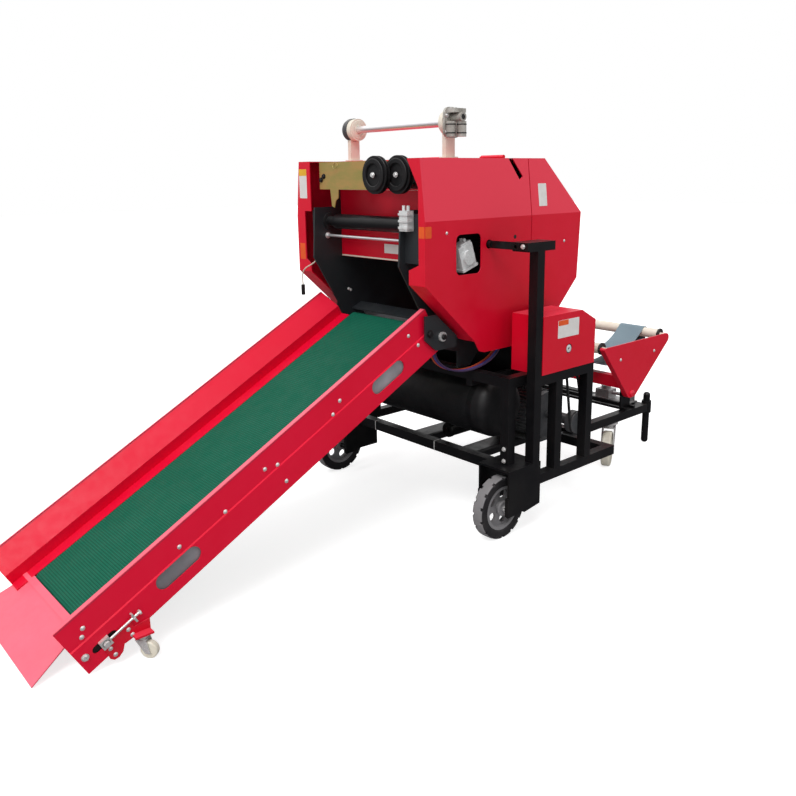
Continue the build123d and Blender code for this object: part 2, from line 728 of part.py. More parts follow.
# Conveyor sides: folded sheet with the strip by the belt, the low wall, the flange and the outer plate
section_line = [(belt_half + 4, -bed_drop), (wall_x, -bed_drop), (wall_x, -bed_drop + wall_h), (lip_x, 0),
                (lip_x + sheet, 0), (lip_x + sheet, -joggle_depth), (outer_x, -joggle_depth - joggle),
                (outer_x, -outer_depth), (outer_x - sheet, -outer_depth),
                (outer_x - sheet, -joggle_depth - joggle - 1), (lip_x, -joggle_depth - 1), (lip_x, -sheet),
                (wall_x + sheet, -bed_drop + wall_h - 3), (wall_x + sheet, -bed_drop - sheet),
                (belt_half + 4, -bed_drop - sheet)]
for name, side in sides.items():
    with BuildPart() as guard:
        with BuildSketch(Plane(origin=(0, *lip_top), x_dir=(1, 0, 0), z_dir=run)):
            with BuildLine():
                Polyline(*[(side * x, above) for x, above in section_line], close=True)
            make_face()
        extrude(amount=lip_length)
        cross_rod(span(side * (outer_x - sheet), side * outer_x), pivot_y, pivot_z, lobe_d)
        cross_rod(span(side * (outer_x - sheet - 24), side * (outer_x - sheet)), pivot_y, pivot_z, boss_d)
        with BuildSketch(Plane.YZ.offset(-body_half)):
            for along in slots_at:
                with Locations(on_slope(along, slot_above)):
                    SlotOverall(slot_length, slot_height, rotation=math.degrees(slope))
            with Locations(on_slope(drum_last, drum_above)):
                SlotOverall(82, shaft_d + 2 * run_gap, rotation=math.degrees(slope))
        with BuildPart(mode=Mode.PRIVATE) as slot_space:
            bar(span(side * 300, side * body_half), (2 * lip_low[0], 0), (0, body_top))
        slots = extrude(amount=2 * body_half, mode=Mode.PRIVATE) & slot_space.part
        add(slots, mode=Mode.SUBTRACT)
        cross_rod(span(side * wall_x, side * outer_x), pivot_y, pivot_z, pivot_d + 2 * run_gap, mode=Mode.SUBTRACT)
    save(guard.part, f"conveyor_{name}_side")

# Slider bed under the upper run, seated on the undersides of the strips
bed_top = -bed_drop - sheet - run_gap
with BuildPart() as bed:
    slope_bar((-wall_x + run_gap, wall_x - run_gap), (drum_first + 60, drum_last - 60), (bed_top - 3, bed_top))
save(bed.part, "conveyor_bed")

# Belt loop and its two drums
belt_plane = Plane(origin=(0, *lip_top), x_dir=run, z_dir=(-1, 0, 0))
with BuildPart() as belt:
    with BuildSketch(belt_plane):
        with Locations(((drum_first + drum_last) / 2, drum_above)):
            SlotCenterToCenter(drum_last - drum_first, drum_d + 2 * belt_sheet)
            SlotCenterToCenter(drum_last - drum_first, drum_d, mode=Mode.SUBTRACT)
    extrude(amount=belt_half, both=True)
save(belt.part, "conveyor_belt")

block_x = outer_x + run_gap
with BuildPart() as drums:
    for along, reach in ((drum_first, outer_x - sheet), (drum_last, block_x + 12)):
        y, z = on_slope(along, drum_above)
        cross_rod((-belt_half, belt_half), y, z, drum_d - 2 * run_gap)
        cross_rod((-reach, reach), y, z, shaft_d)
save(drums.part, "conveyor_drums")

# Belt tensioners: a block on the lower shaft, its screw and the lug the screw pulls on
screw_turn = 90 + math.degrees(slope)
screw_d = 8
with BuildPart() as tensioners:
    for side in (-1, 1):
        y, z = on_slope(drum_last, drum_above)
        slope_bar(span(side * block_x, side * (block_x + 12)), (drum_last - 16, drum_last + 16),
                  (drum_above - 15, drum_above + 15))
        cross_rod(span(side * block_x, side * (block_x + 12)), y, z, shaft_d + 2 * run_gap, mode=Mode.SUBTRACT)
        slope_bar(span(side * block_x, side * (block_x + 14)), (drum_last - 102, drum_last - 96),
                  (drum_above - 16, drum_above + 16))
        middle = on_slope(drum_last - 66, drum_above)
        with Locations(Location((side * (block_x + 7), *middle), (screw_turn, 0, 0))):
            Cylinder(screw_d / 2, 106)
save(tensioners.part, "belt_tensioners")

# Apron: a hem under the strips and the sheet that carries on down to the floor
hem = (1545, 1590)
fold = on_slope(hem[1] - 4, bed_top - sheet / 2)
apron_run = math.hypot(fold[0] - apron_tip[0], fold[1] - apron_tip[1])
apron_dir = ((apron_tip[0] - fold[0]) / apron_run, (apron_tip[1] - fold[1]) / apron_run)
with BuildPart() as apron:
    slope_bar((-wall_x + run_gap, wall_x - run_gap), hem, (bed_top - sheet, bed_top))
    with BuildSketch(Plane(origin=(0, *fold), x_dir=(1, 0, 0), z_dir=(0, apron_dir[1], -apron_dir[0]))):
        with BuildLine():
            Polyline((-wall_x + run_gap, 0), (wall_x - run_gap, 0), (apron_half, -apron_run),
                     (-apron_half, -apron_run), close=True)
        make_face()
    extrude(amount=sheet / 2, both=True)
save(apron.part, "conveyor_apron")

# Conveyor pivot pins in the lugs
with BuildPart() as pins:
    for side in (-1, 1):
        cross_rod(span(side * (outer_x - sheet + run_gap), side * (lug_x + lug_plate + 8)), pivot_y, pivot_z, pivot_d)
        cross_rod(span(side * (lug_x + lug_plate), side * (lug_x + lug_plate + 8)), pivot_y, pivot_z, pivot_d + 12)
save(pins.part, "conveyor_pins")

# Small casters under the low end of the conveyor, and the brackets that carry them
foot_mount = foot_wheel_d + 21
for name, side in sides.items():
    caster(side * foot_x, foot_y, -side * foot_turn, foot_wheel_d, foot_wheel_w, foot_trail,
           foot_mount - run_gap, foot_axle, 3, 2, f"{name}_foot")

with BuildPart() as foot_brackets:
    for side in (-1, 1):
        plate([(foot_y - 60, foot_mount), (foot_y + 30, foot_mount), (foot_y + 30, foot_mount + 36),
               (foot_y - 60, foot_mount + 20)], span(side * outer_x, side * (outer_x + 5)))
        bar(span(side * outer_x, side * (foot_x + 22)), (foot_y - 28, foot_y + 28), (foot_mount, foot_mount + 6))
save(foot_brackets.part, "conveyor_foot_brackets")

# Tailgate: the rear shell of the body, open towards the chamber
tail_outline = [(seam_y + seam_gap, belly_z), (402, belly_z), (516, 835), (633, 952), (647, bend_z),
                (430, body_top), (seam_y + seam_gap, body_top)]
with BuildPart() as tailgate:
    plate(tail_outline, (-body_half, body_half))
    with BuildSketch(Plane.XZ):
        with BuildLine():
            Polyline((-body_half, 0), (-body_half, bend_z), (-roof_half, body_top),
                     (roof_half, body_top), (body_half, bend_z), (body_half, 0), close=True)
        make_face()
    extrude(amount=-2 * rail_end, mode=Mode.INTERSECT)
    offset(amount=-sheet, openings=tailgate.faces().sort_by(Axis.Y)[0])
    for side in (-1, 1):
        knuckle = span(side * (knuckle_in - 60), side * (knuckle_in - run_gap))
        bar(knuckle, (seam_y + seam_gap, seam_y + 30), (body_top, body_top + 4))
        cross_rod(knuckle, hinge_y, hinge_z, hinge_d)
    cross_rod((-chamber_half, chamber_half), hinge_y, hinge_z, hinge_pin + 2 * run_gap, mode=Mode.SUBTRACT)
save(tailgate.part, "tailgate_shell")

tail_plate_outline = [(seam_y + seam_gap, 730), (396, 730), (504, 848), (616, 960), (628, 1215), (420, 1425),
                      (seam_y + seam_gap, 1425)]
with BuildPart() as tail_plates:
    for side in (-1, 1):
        plate(tail_plate_outline, span(side * chamber_half, side * plate_out))
        for y, z in ((380, 1330), (380, 780), (560, 1150)):
            reach = panel_x(z) - sheet - 2
            cross_rod(span(side * (chamber_half + 4), side * reach), y, z, 30)
save(tail_plates.part, "tailgate_plates")
chamber_rollers((52, 28, 4, -20, -44), "tailgate_rollers")

# Wrapping cradle: two flanged triangular plates and the cross piece between them
cradle_out = cradle_half + cradle_plate
cradle_low = cradle_pivot_z - 20
cross_y = (cradle_pivot_y - 54, cradle_pivot_y - 14)
cross_z = (358, 416)
with BuildPart() as cradle:
    for side in (-1, 1):
        with BuildPart() as end_plate:
            plate([(cradle_front_y, cradle_top_z), (cradle_rear_y, cradle_top_z), (cradle_pivot_y + 25, cradle_low),
                   (cradle_pivot_y - 25, cradle_low)], span(side * (cradle_out - cradle_flange), side * cradle_out))
            fillet(end_plate.edges().filter_by(Axis.X).group_by(Axis.Z)[-1].sort_by(Axis.Y)[0], 10)
            fillet(end_plate.edges().filter_by(Axis.X).sort_by(Axis.Y)[-1], 24)
            fillet(end_plate.edges().filter_by(Axis.X).group_by(Axis.Z)[0], 28)
            open_side = end_plate.faces().filter_by(Axis.X).sort_by(Axis.X)[0 if side > 0 else -1]
            offset(amount=-cradle_plate, openings=open_side)
        bar(span(side * (cradle_out - cradle_flange - 1), side * (cradle_out - cradle_plate)),
            (cradle_front_y + 21, cradle_rear_y - 65), (cradle_top_z - cradle_plate - 1, cradle_top_z + 1),
            mode=Mode.SUBTRACT)
    bar((-cradle_half, cradle_half), cross_y, cross_z)
    cross_rod((-platform_half, platform_half), cradle_pivot_y, cradle_pivot_z, 20 + 2 * run_gap, mode=Mode.SUBTRACT)
save(cradle.part, "cradle_frame")

with BuildPart() as cradle_rollers:
    for y in cradle_roller_y:
        reach = cradle_out - cradle_flange - 2
        cross_rod((-reach, reach), y, cradle_roller_z, cradle_roller_d)
        cross_rod((-cradle_half, cradle_half), y, cradle_roller_z, 18)
save(cradle_rollers.part, "cradle_rollers")


def belt_wire(reach):
    """Closed outline of a slack belt at a distance from the roller axes: two runs about one centre."""
    front, rear = cradle_roller_y
    middle = (front + rear) / 2
    half = (rear - front) / 2
    pitch = half * math.sqrt(2)
    centre_z = cradle_roller_z + half
    edge = reach / math.sqrt(2)
    top = cradle_roller_z + edge
    low = cradle_roller_z - edge
    ThreePointArc((front + edge, top), (middle, centre_z - pitch + reach), (rear - edge, top))
    ThreePointArc((rear - edge, top), (rear + edge, top), (rear + edge, low))
    ThreePointArc((rear + edge, low), (middle, centre_z - pitch - reach), (front - edge, low))
    ThreePointArc((front - edge, low), (front - edge, top), (front + edge, top))


# Slack belts that hang between the cradle rollers
with BuildPart() as cradle_belts:
    for side in (-1, 1):
        start = side * cradle_belt_x - cradle_belt_width / 2
        for reach, mode in ((cradle_roller_d / 2 + belt_sheet, Mode.ADD), (cradle_roller_d / 2 + run_gap, Mode.SUBTRACT)):
            with BuildSketch(Plane.YZ.offset(start)) as loop:
                with BuildLine() as wire:
                    belt_wire(reach)
                make_face(wire.edges())
            extrude(to_extrude=loop.sketch, amount=cradle_belt_width, mode=mode)
save(cradle_belts.part, "cradle_belts")

# Stand that holds the cradle's pivot on the platform
stand_out = cradle_out - cradle_flange - 6
with BuildPart() as stand:
    for side in (-1, 1):
        bar(span(side * (stand_out - 8), side * stand_out), (cradle_pivot_y - 40, cradle_pivot_y + 40),
            (platform_top, cradle_pivot_z + 20))
        cross_rod(span(side * (stand_out - 8), side * (cradle_out + 4)), cradle_pivot_y, cradle_pivot_z, 20)
    for y in (cradle_pivot_y - 40, cradle_pivot_y + 28):
        bar((-platform_half + 6, platform_half - 6), (y, y + 12), (platform_top, platform_top + 12))
save(stand.part, "cradle_stand")

# Air hoses that sag under the body between two clips
hose_route = [(279, -125, 745.3), (281, -122, 712), (290, -98, 675), (303, -55, 650), (318, -2, 640), (330, 52, 645),
              (339, 104, 660), (344, 148, 684), (346, 172, 713.2)]
hoses = [cord_tube([(x + hose_pitch * step, y, z) for x, y, z in hose_route], hose_d, "hose") for step in range(4)]
save(Compound(children=hoses), "air_hoses")

# Short lead that hangs from the left side of the mouth, with its plug
lead_route = [(-281, -228, 1072),(-282, -234, 1046), (-294, -256, 1028), (-316, -268, 1016), (-337, -269, 998),
              (-347, -266, 972), (-349, -263, 942)]
save(cord_tube(lead_route, lead_d, "lead"), "hanging_lead")
with BuildPart() as plug:
    with Locations((-349, -263, lead_route[-1][2] - 0.5 - plug_length / 2)):
        Cylinder(plug_d / 2, plug_length)
    fillet(plug.edges().filter_by(GeomType.CIRCLE).sort_by(Axis.Z)[0], plug_d / 4)
save(plug.part, "lead_plug")

# The finished frame stands on the floor under the middle of the overall box
boxes = [piece.bounding_box() for piece in pieces.values()]
middle_x = (min(box.min.X for box in boxes) + max(box.max.X for box in boxes)) / 2
middle_y = (min(box.min.Y for box in boxes) + max(box.max.Y for box in boxes)) / 2
print("middle of the overall box:", round(middle_x, 3), round(middle_y, 3))
for label, piece in pieces.items():
    placed = piece.moved(Location((-middle_x, -middle_y, 0)))
    placed.label = label
    export_step(placed, f"parts/{label}.step")
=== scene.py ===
"""Looks of a small red round baler: its paint, rubber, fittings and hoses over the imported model."""
import json
import math
import bmesh
import bpy
import numpy as np
from mathutils import Matrix, Vector


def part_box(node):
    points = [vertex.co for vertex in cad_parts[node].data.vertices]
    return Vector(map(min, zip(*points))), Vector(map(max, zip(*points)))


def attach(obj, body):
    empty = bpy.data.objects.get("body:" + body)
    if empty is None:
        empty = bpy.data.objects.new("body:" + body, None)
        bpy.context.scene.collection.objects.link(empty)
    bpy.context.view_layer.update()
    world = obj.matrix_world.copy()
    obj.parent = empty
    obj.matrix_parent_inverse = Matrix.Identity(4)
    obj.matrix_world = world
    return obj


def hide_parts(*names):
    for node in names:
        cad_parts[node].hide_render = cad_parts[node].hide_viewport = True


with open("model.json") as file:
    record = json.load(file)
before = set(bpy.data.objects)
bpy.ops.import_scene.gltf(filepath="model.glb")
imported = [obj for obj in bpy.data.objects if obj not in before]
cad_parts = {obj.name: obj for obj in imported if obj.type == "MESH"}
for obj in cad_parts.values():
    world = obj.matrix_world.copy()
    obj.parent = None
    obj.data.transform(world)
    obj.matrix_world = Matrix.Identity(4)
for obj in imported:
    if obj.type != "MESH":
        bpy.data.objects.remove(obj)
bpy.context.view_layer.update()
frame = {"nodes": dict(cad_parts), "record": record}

# Sizes of the machine in millimetres, x across, y from the mouth to the cradle, z up
TYRE = dict(x=516, y=18, d=250, width=50, rim=176)
AXLE = (TYRE["y"], TYRE["d"] / 2)
SIDE_PANEL = 391            # centre line to the outer face of the body's side
CHAMBER = 260               # centre line to the inner face of a chamber plate
CRADLE_PLATE = 358          # centre line to the outer face of the cradle's end plate
# Top end and slope of the lip on the conveyor's guards, and the outer face of the guards
LIP = dict(y=-190, z=905, slope=math.atan2(743, 1410), outer=330)
# Axes of the first and the last drum, measured from the lip along the slope and square to it
DRUMS = dict(first=-10, last=1508, above=-129)
# y and z of axes that lie across the machine
FEED_ROLLER = (-178, 1205)
GUIDE_ROD = (-190, 1147)
HOLDER = (-15, 1570)
TANK = (170, 468)
MOTOR = (476, 372)
CRADLE_PIVOT = (1160, 330)
CRADLE_ROLLERS = ((938, 582), (1436, 582))
# Middles of the grooved discs' front faces, and of the gear shaft at the cover's outer face
DISCS = ((128, -262, 1387), (222, -232, 1387))
GEAR_SHAFT = (586, 338, 716)
SIDES = ((-1, "left"), (1, "right"))

# The frame's shift in metres: the tyres' middle in x, and their axle in y against its place on the machine
left_box, right_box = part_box("left_tyre"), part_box("right_tyre")
SHIFT = np.array([(left_box[0][0] + right_box[1][0]) / 2,
                  (left_box[0][1] + left_box[1][1]) / 2 - TYRE["y"] / 1000, 0.0])


def placed(points):
    """Metres of the frame from millimetres of the machine: a thousandth, moved by the frame's shift."""
    return np.asarray(points, float) / 1000 + SHIFT


def on_slope(along, above):
    """y and z on the conveyor: the lip's top end, along down the slope and above square to it."""
    c, s = math.cos(LIP["slope"]), math.sin(LIP["slope"])
    return LIP["y"] - along * c - above * s, LIP["z"] - along * s + above * c


# Camera, floor and light
def camera():
    """Stand and lens worked out from the photograph: place, turn, tilt, roll and focal length in pixels."""
    place = placed((2454.67, -2172.9, 1389.58))
    yaw, pitch, roll = np.radians((48.63, 13.44, -0.77))
    focal, centre_x, centre_y, width = 800.35, 403.62, 365.18, 796
    look = np.array((-math.sin(yaw) * math.cos(pitch), math.cos(yaw) * math.cos(pitch), -math.sin(pitch)))
    level = np.array((math.cos(yaw), math.sin(yaw), 0.0))
    rise = np.cross(level, look)
    right = level * math.cos(roll) + rise * math.sin(roll)
    up = rise * math.cos(roll) - level * math.sin(roll)
    data = bpy.data.cameras.new("camera")
    sensor = 36.0
    data.sensor_width = sensor
    data.lens = focal / width * sensor
    data.shift_x = (width / 2 - centre_x) / width
    data.shift_y = (centre_y - width / 2) / width
    data.clip_end = 100.0
    stand = bpy.data.objects.new("camera", data)
    bpy.context.scene.collection.objects.link(stand)
    turn = np.stack([right, up, -look], 1)
    stand.matrix_world = Matrix([[*row, p] for row, p in zip(turn, place)] + [[0, 0, 0, 1]])
    bpy.context.scene.camera = stand


def link(tree, start, end):
    """Join an output socket to an input socket."""
    tree.links.new(start, end)


def surroundings():
    """World that is white to the camera, paler towards the sky, and steeper still in mirror rays."""
    world = bpy.data.worlds.new("pale_room")
    bpy.context.scene.world = world
    world.use_nodes = True
    tree = world.node_tree
    ray = tree.nodes.new("ShaderNodeLightPath")
    split = tree.nodes.new("ShaderNodeSeparateXYZ")
    link(tree, tree.nodes.new("ShaderNodeTexCoord").outputs["Generated"], split.inputs[0])
    level = tree.nodes.new("ShaderNodeMapRange")
    for label, number in (("From Min", -0.3), ("To Min", 0.26), ("To Max", 0.82)):
        level.inputs[label].default_value = number
    link(tree, split.outputs["Z"], level.inputs["Value"])
    bright = level.outputs["Result"]
    steeper = math_node(tree, "SUBTRACT", math_node(tree, "MULTIPLY", bright, 3.0), 1.0)
    gain = math_node(tree, "ADD", math_node(tree, "MULTIPLY", ray.outputs["Is Glossy Ray"], steeper), 1.0)
    seen = math_node(tree, "MAXIMUM", math_node(tree, "MULTIPLY", bright, gain), ray.outputs["Is Camera Ray"])
    back = tree.nodes["Background"]
    back.inputs["Color"].default_value = (1, 1, 1, 1)
    link(tree, seen, back.inputs["Strength"])


def window_light():
    """One broad sun from the front, the right and above."""
    sun = bpy.data.lights.new("window_light", "SUN")
    sun.energy = 2.0
    sun.angle = math.radians(35)
    lamp = bpy.data.objects.new("window_light", sun)
    bpy.context.scene.collection.objects.link(lamp)
    towards = Vector((0.28, -0.62, 0.95))
    lamp.rotation_euler = towards.to_track_quat("Z", "Y").to_euler()


def pale_floor():
    """Floor that looks white to the camera, keeps a soft shadow and hardly shows in mirror rays."""
    reach = 30
    mesh = bpy.data.meshes.new("floor")
    mesh.from_pydata([(-reach, -reach, 0), (reach, -reach, 0), (reach, reach, 0), (-reach, reach, 0)],
                     [], [(0, 1, 2, 3)])
    floor = bpy.data.objects.new("floor", mesh)
    bpy.context.scene.collection.objects.link(floor)
    paint = bpy.data.materials.new("pale_floor")
    paint.use_nodes = True
    tree = paint.node_tree
    surface = tree.nodes["Principled BSDF"]
    surface.inputs["Roughness"].default_value = 0.9
    surface.inputs["Specular IOR Level"].default_value = 0.1
    surface.inputs["Emission Color"].default_value = (1, 1, 1, 1)
    ray = tree.nodes.new("ShaderNodeLightPath")
    dim = mixed(tree, ray.outputs["Is Glossy Ray"], (0.64, 0.64, 0.64), (0.10, 0.10, 0.11))
    link(tree, dim, surface.inputs["Base Color"])
    lift = math_node(tree, "MULTIPLY", ray.outputs["Is Camera Ray"], 0.74)
    link(tree, lift, surface.inputs["Emission Strength"])
    mesh.materials.append(paint)


def daylight():
    """Plain view colours, the surroundings, one sun and the floor."""
    bpy.context.scene.view_settings.view_transform = "Standard"
    surroundings()
    window_light()
    pale_floor()


# Shared effects
def group(name, inputs, outputs):
    """An empty shader group with float inputs, each a name and a value, and float outputs by name."""
    tree = bpy.data.node_groups.new(name, "ShaderNodeTree")
    for label, value in inputs:
        socket = tree.interface.new_socket(label, in_out="INPUT", socket_type="NodeSocketFloat")
        socket.default_value = value
    for label in outputs:
        tree.interface.new_socket(label, in_out="OUTPUT", socket_type="NodeSocketFloat")
    return tree, tree.nodes.new("NodeGroupInput"), tree.nodes.new("NodeGroupOutput")


def math_node(tree, operation, first, second=None, clamp=False):
    """One step of arithmetic on sockets or plain numbers."""
    node = tree.nodes.new("ShaderNodeMath")
    node.operation = operation
    node.use_clamp = clamp
    for place, value in enumerate((first, second)):
        if value is None:
            continue
        if isinstance(value, (int, float)):
            node.inputs[place].default_value = value
        else:
            link(tree, value, node.inputs[place])
    return node.outputs[0]


def noise(tree, scale, detail=4.0, rough=0.55, vector=None):
    """Fractal noise on Object coordinates."""
    node = tree.nodes.new("ShaderNodeTexNoise")
    node.inputs["Detail"].default_value = detail
    node.inputs["Roughness"].default_value = rough
    if isinstance(scale, (int, float)):
        node.inputs["Scale"].default_value = scale
    else:
        link(tree, scale, node.inputs["Scale"])
    if vector is None:
        vector = tree.nodes.new("ShaderNodeTexCoord").outputs["Object"]
    link(tree, vector, node.inputs["Vector"])
    return node.outputs["Fac"]


def ramp(tree, value, low, high, start=0.0, end=1.0):
    """Value stretched from low..high to start..end, smooth at both ends."""
    node = tree.nodes.new("ShaderNodeMapRange")
    node.interpolation_type = "SMOOTHSTEP"
    for label, number in (("From Min", low), ("From Max", high), ("To Min", start), ("To Max", end)):
        node.inputs[label].default_value = number
    link(tree, value, node.inputs["Value"])
    return node.outputs["Result"]


def make_dust():
    """Dust mask: patches of noise, thickest where the face looks up and close to the floor."""
    tree, given, out = group("dust", [("Amount", 0.3)], ["Mask"])
    geometry = tree.nodes.new("ShaderNodeNewGeometry")
    facing = tree.nodes.new("ShaderNodeSeparateXYZ")
    link(tree, geometry.outputs["Normal"], facing.inputs[0])
    where = tree.nodes.new("ShaderNodeSeparateXYZ")
    link(tree, tree.nodes.new("ShaderNodeTexCoord").outputs["Object"], where.inputs[0])
    upward = ramp(tree, facing.outputs["Z"], 0.1, 1.0)
    low = ramp(tree, where.outputs["Z"], 0.0, 0.45, 0.6, 0.0)
    patches = ramp(tree, noise(tree, 6.0, 6.0, 0.65), 0.42, 0.72)
    amount = math_node(tree, "MULTIPLY", math_node(tree, "ADD", upward, low, True), patches)
    link(tree, math_node(tree, "MULTIPLY", amount, given.outputs["Amount"], True), out.inputs["Mask"])
    return tree


def make_edge_wear():
    """Edge mask: where a rounded normal leaves the flat one, broken up by noise."""
    tree, given, out = group("edge_wear", [("Amount", 0.5)], ["Mask"])
    bevel = tree.nodes.new("ShaderNodeBevel")
    bevel.samples = 4
    bevel.inputs["Radius"].default_value = 0.0035
    geometry = tree.nodes.new("ShaderNodeNewGeometry")
    dot = tree.nodes.new("ShaderNodeVectorMath")
    dot.operation = "DOT_PRODUCT"
    link(tree, bevel.outputs["Normal"], dot.inputs[0])
    link(tree, geometry.outputs["Normal"], dot.inputs[1])
    edge = ramp(tree, math_node(tree, "SUBTRACT", 1.0, dot.outputs["Value"]), 0.03, 0.25)
    broken = math_node(tree, "MULTIPLY", edge, ramp(tree, noise(tree, 34.0, 6.0, 0.7), 0.45, 0.62))
    link(tree, math_node(tree, "MULTIPLY", broken, given.outputs["Amount"], True), out.inputs["Mask"])
    return tree


def make_grain():
    """Surface height: slow waves of sheet metal and fine grain of the coat."""
    tree, given, out = group("grain", [("Fine scale", 500.0), ("Fine", 0.5), ("Waves", 0.5)], ["Height"])
    fine = math_node(tree, "MULTIPLY", noise(tree, given.outputs["Fine scale"], 2.0), given.outputs["Fine"])
    waves = math_node(tree, "MULTIPLY", noise(tree, 3.0, 1.0), given.outputs["Waves"])
    link(tree, math_node(tree, "ADD", fine, waves), out.inputs["Height"])
    return tree


DUST, EDGE_WEAR, GRAIN = make_dust(), make_edge_wear(), make_grain()
DUST_TONE = (0.36, 0.33, 0.30)


def use(tree, shared, **values):
    """Place a shared effect with its own values and give back its output."""
    node = tree.nodes.new("ShaderNodeGroup")
    node.node_tree = shared
    for label, value in values.items():
        node.inputs[label.replace("_", " ")].default_value = value
    return node.outputs[0]


def mixed(tree, factor, first, second):
    """Colour between first and second by a factor socket."""
    node = tree.nodes.new("ShaderNodeMix")
    node.data_type = "RGBA"
    link(tree, factor, node.inputs["Factor"])
    for place, value in ((6, first), (7, second)):
        if isinstance(value, tuple):
            node.inputs[place].default_value = (*value, 1.0)
        else:
            link(tree, value, node.inputs[place])
    return node.outputs[2]


def coat(name, color, second, rough, metal=0.0, gloss=0.0, patch=4.0, fine=(500.0, 0.4, 0.3), bump=0.05,
         dust=0.25, worn=None, wear=0.5, stretch=None, pattern=None, specular=0.5):
    """One finish: two tones in patches, edge wear, dust, grain, and a pattern of its own if it has one."""
    paint = bpy.data.materials.new(name)
    paint.use_nodes = True
    paint.diffuse_color = (*color, 1.0)
    tree = paint.node_tree
    surface = tree.nodes["Principled BSDF"]
    surface.inputs["Metallic"].default_value = metal
    surface.inputs["Coat Weight"].default_value = gloss
    surface.inputs["Coat Roughness"].default_value = 0.12
    surface.inputs["Specular IOR Level"].default_value = specular
    vector = tree.nodes.new("ShaderNodeTexCoord").outputs["Object"]
    if stretch:
        turn = tree.nodes.new("ShaderNodeMapping")
        turn.inputs["Scale"].default_value = stretch
        link(tree, vector, turn.inputs["Vector"])
        vector = turn.outputs["Vector"]
    tone = ramp(tree, noise(tree, patch, 5.0, 0.6, vector), 0.3, 0.7)
    shade = mixed(tree, tone, color, second)
    height = use(tree, GRAIN, Fine_scale=fine[0], Fine=fine[1], Waves=fine[2])
    if pattern:
        shade, height = pattern(tree, shade, height)
    if worn:
        shade = mixed(tree, use(tree, EDGE_WEAR, Amount=wear), shade, worn)
    veil = use(tree, DUST, Amount=dust)
    shade = mixed(tree, veil, shade, DUST_TONE)
    link(tree, shade, surface.inputs["Base Color"])
    scuffs = ramp(tree, noise(tree, 22.0, 7.0, 0.7, vector), 0.35, 0.7, rough - 0.06, rough + 0.1)
    dull = math_node(tree, "ADD", scuffs, math_node(tree, "MULTIPLY", veil, 0.4), True)
    link(tree, dull, surface.inputs["Roughness"])
    relief = tree.nodes.new("ShaderNodeBump")
    relief.inputs["Strength"].default_value = bump
    relief.inputs["Distance"].default_value = 0.002
    link(tree, height, relief.inputs["Height"])
    link(tree, relief.outputs["Normal"], surface.inputs["Normal"])
    return paint


def slope_axes(tree):
    """x across, y up the conveyor and z above its lip, from Object coordinates turned by the slope."""
    turn = tree.nodes.new("ShaderNodeMapping")
    angle = LIP["slope"]
    y, z = placed((0, LIP["y"], LIP["z"]))[1:]
    turn.inputs["Rotation"].default_value = (-angle, 0, 0)
    turn.inputs["Location"].default_value = (0, -(y * math.cos(angle) + z * math.sin(angle)),
                                             y * math.sin(angle) - z * math.cos(angle))
    link(tree, tree.nodes.new("ShaderNodeTexCoord").outputs["Object"], turn.inputs["Vector"])
    split = tree.nodes.new("ShaderNodeSeparateXYZ")
    link(tree, turn.outputs["Vector"], split.inputs[0])
    return split.outputs


def object_axes(tree):
    """x, y and z of Object coordinates."""
    split = tree.nodes.new("ShaderNodeSeparateXYZ")
    link(tree, tree.nodes.new("ShaderNodeTexCoord").outputs["Object"], split.inputs[0])
    return split.outputs


def length_of(tree, first, second):
    """Root of the sum of two squares."""
    squares = [math_node(tree, "POWER", math_node(tree, "ABSOLUTE", side), 2.0) for side in (first, second)]
    return math_node(tree, "SQRT", math_node(tree, "ADD", *squares))


def wave(tree, value, rate):
    """Sine of a value times a rate."""
    return math_node(tree, "SINE", math_node(tree, "MULTIPLY", value, rate))


def belt_pattern(tree, shade, height):
    """Fine bumps in a grid, the sine of x times the sine along the belt, with painted shade in darker green
    between the bumps; the inner side is grey cloth.
    """
    x, along, above = slope_axes(tree)
    # the darker green between the bumps is painted shade in the hollows
    pitch, hollow_shade_green, cloth_grey = 0.0088, (0.004, 0.075, 0.045), (0.30, 0.30, 0.33)
    inner_face = (0.0262, 0.0272)
    rate = 2 * math.pi / pitch
    heights = [math_node(tree, "ADD", wave(tree, way, rate), 1.0) for way in (along, x)]
    bumps = ramp(tree, math_node(tree, "MULTIPLY", *heights), 0.5, 1.8)
    half = (DRUMS["last"] - DRUMS["first"]) / 2000
    middle = (DRUMS["last"] + DRUMS["first"]) / 2000
    from_middle = math_node(tree, "ABSOLUTE", math_node(tree, "ADD", along, middle))
    beyond = math_node(tree, "MAXIMUM", math_node(tree, "SUBTRACT", from_middle, half), 0.0)
    rise = math_node(tree, "ADD", above, -DRUMS["above"] / 1000)
    inside = ramp(tree, length_of(tree, beyond, rise), *inner_face, 1.0, 0.0)
    outside = mixed(tree, bumps, hollow_shade_green, shade)
    return mixed(tree, inside, outside, cloth_grey), math_node(tree, "ADD", height, bumps)


def painted_sky_sheen(tree, shade, height):
    """Painted sheen: the paint a little paler where the sheet leans towards the sky, standing in for sky
    light on upward faces.
    """
    split = tree.nodes.new("ShaderNodeSeparateXYZ")
    link(tree, tree.nodes.new("ShaderNodeNewGeometry").outputs["Normal"], split.inputs[0])
    # paler red painted on upward faces as a sheen of sky light
    sheen_red = (0.78, 0.040, 0.075)
    leaning = ramp(tree, split.outputs["Z"], 0.05, 0.11)
    return mixed(tree, leaning, shade, sheen_red), height


def painted_lip_shade(tree, shade, height):
    """Painted shade: the paint darker on the upper lips of the guards, so the lips look less lit."""
    # darker red painted on the lips as shade
    lip_shade_red = (0.46, 0.018, 0.050)
    on_lip = ramp(tree, slope_axes(tree)[2], -0.006, -0.001)
    return mixed(tree, on_lip, shade, lip_shade_red), height


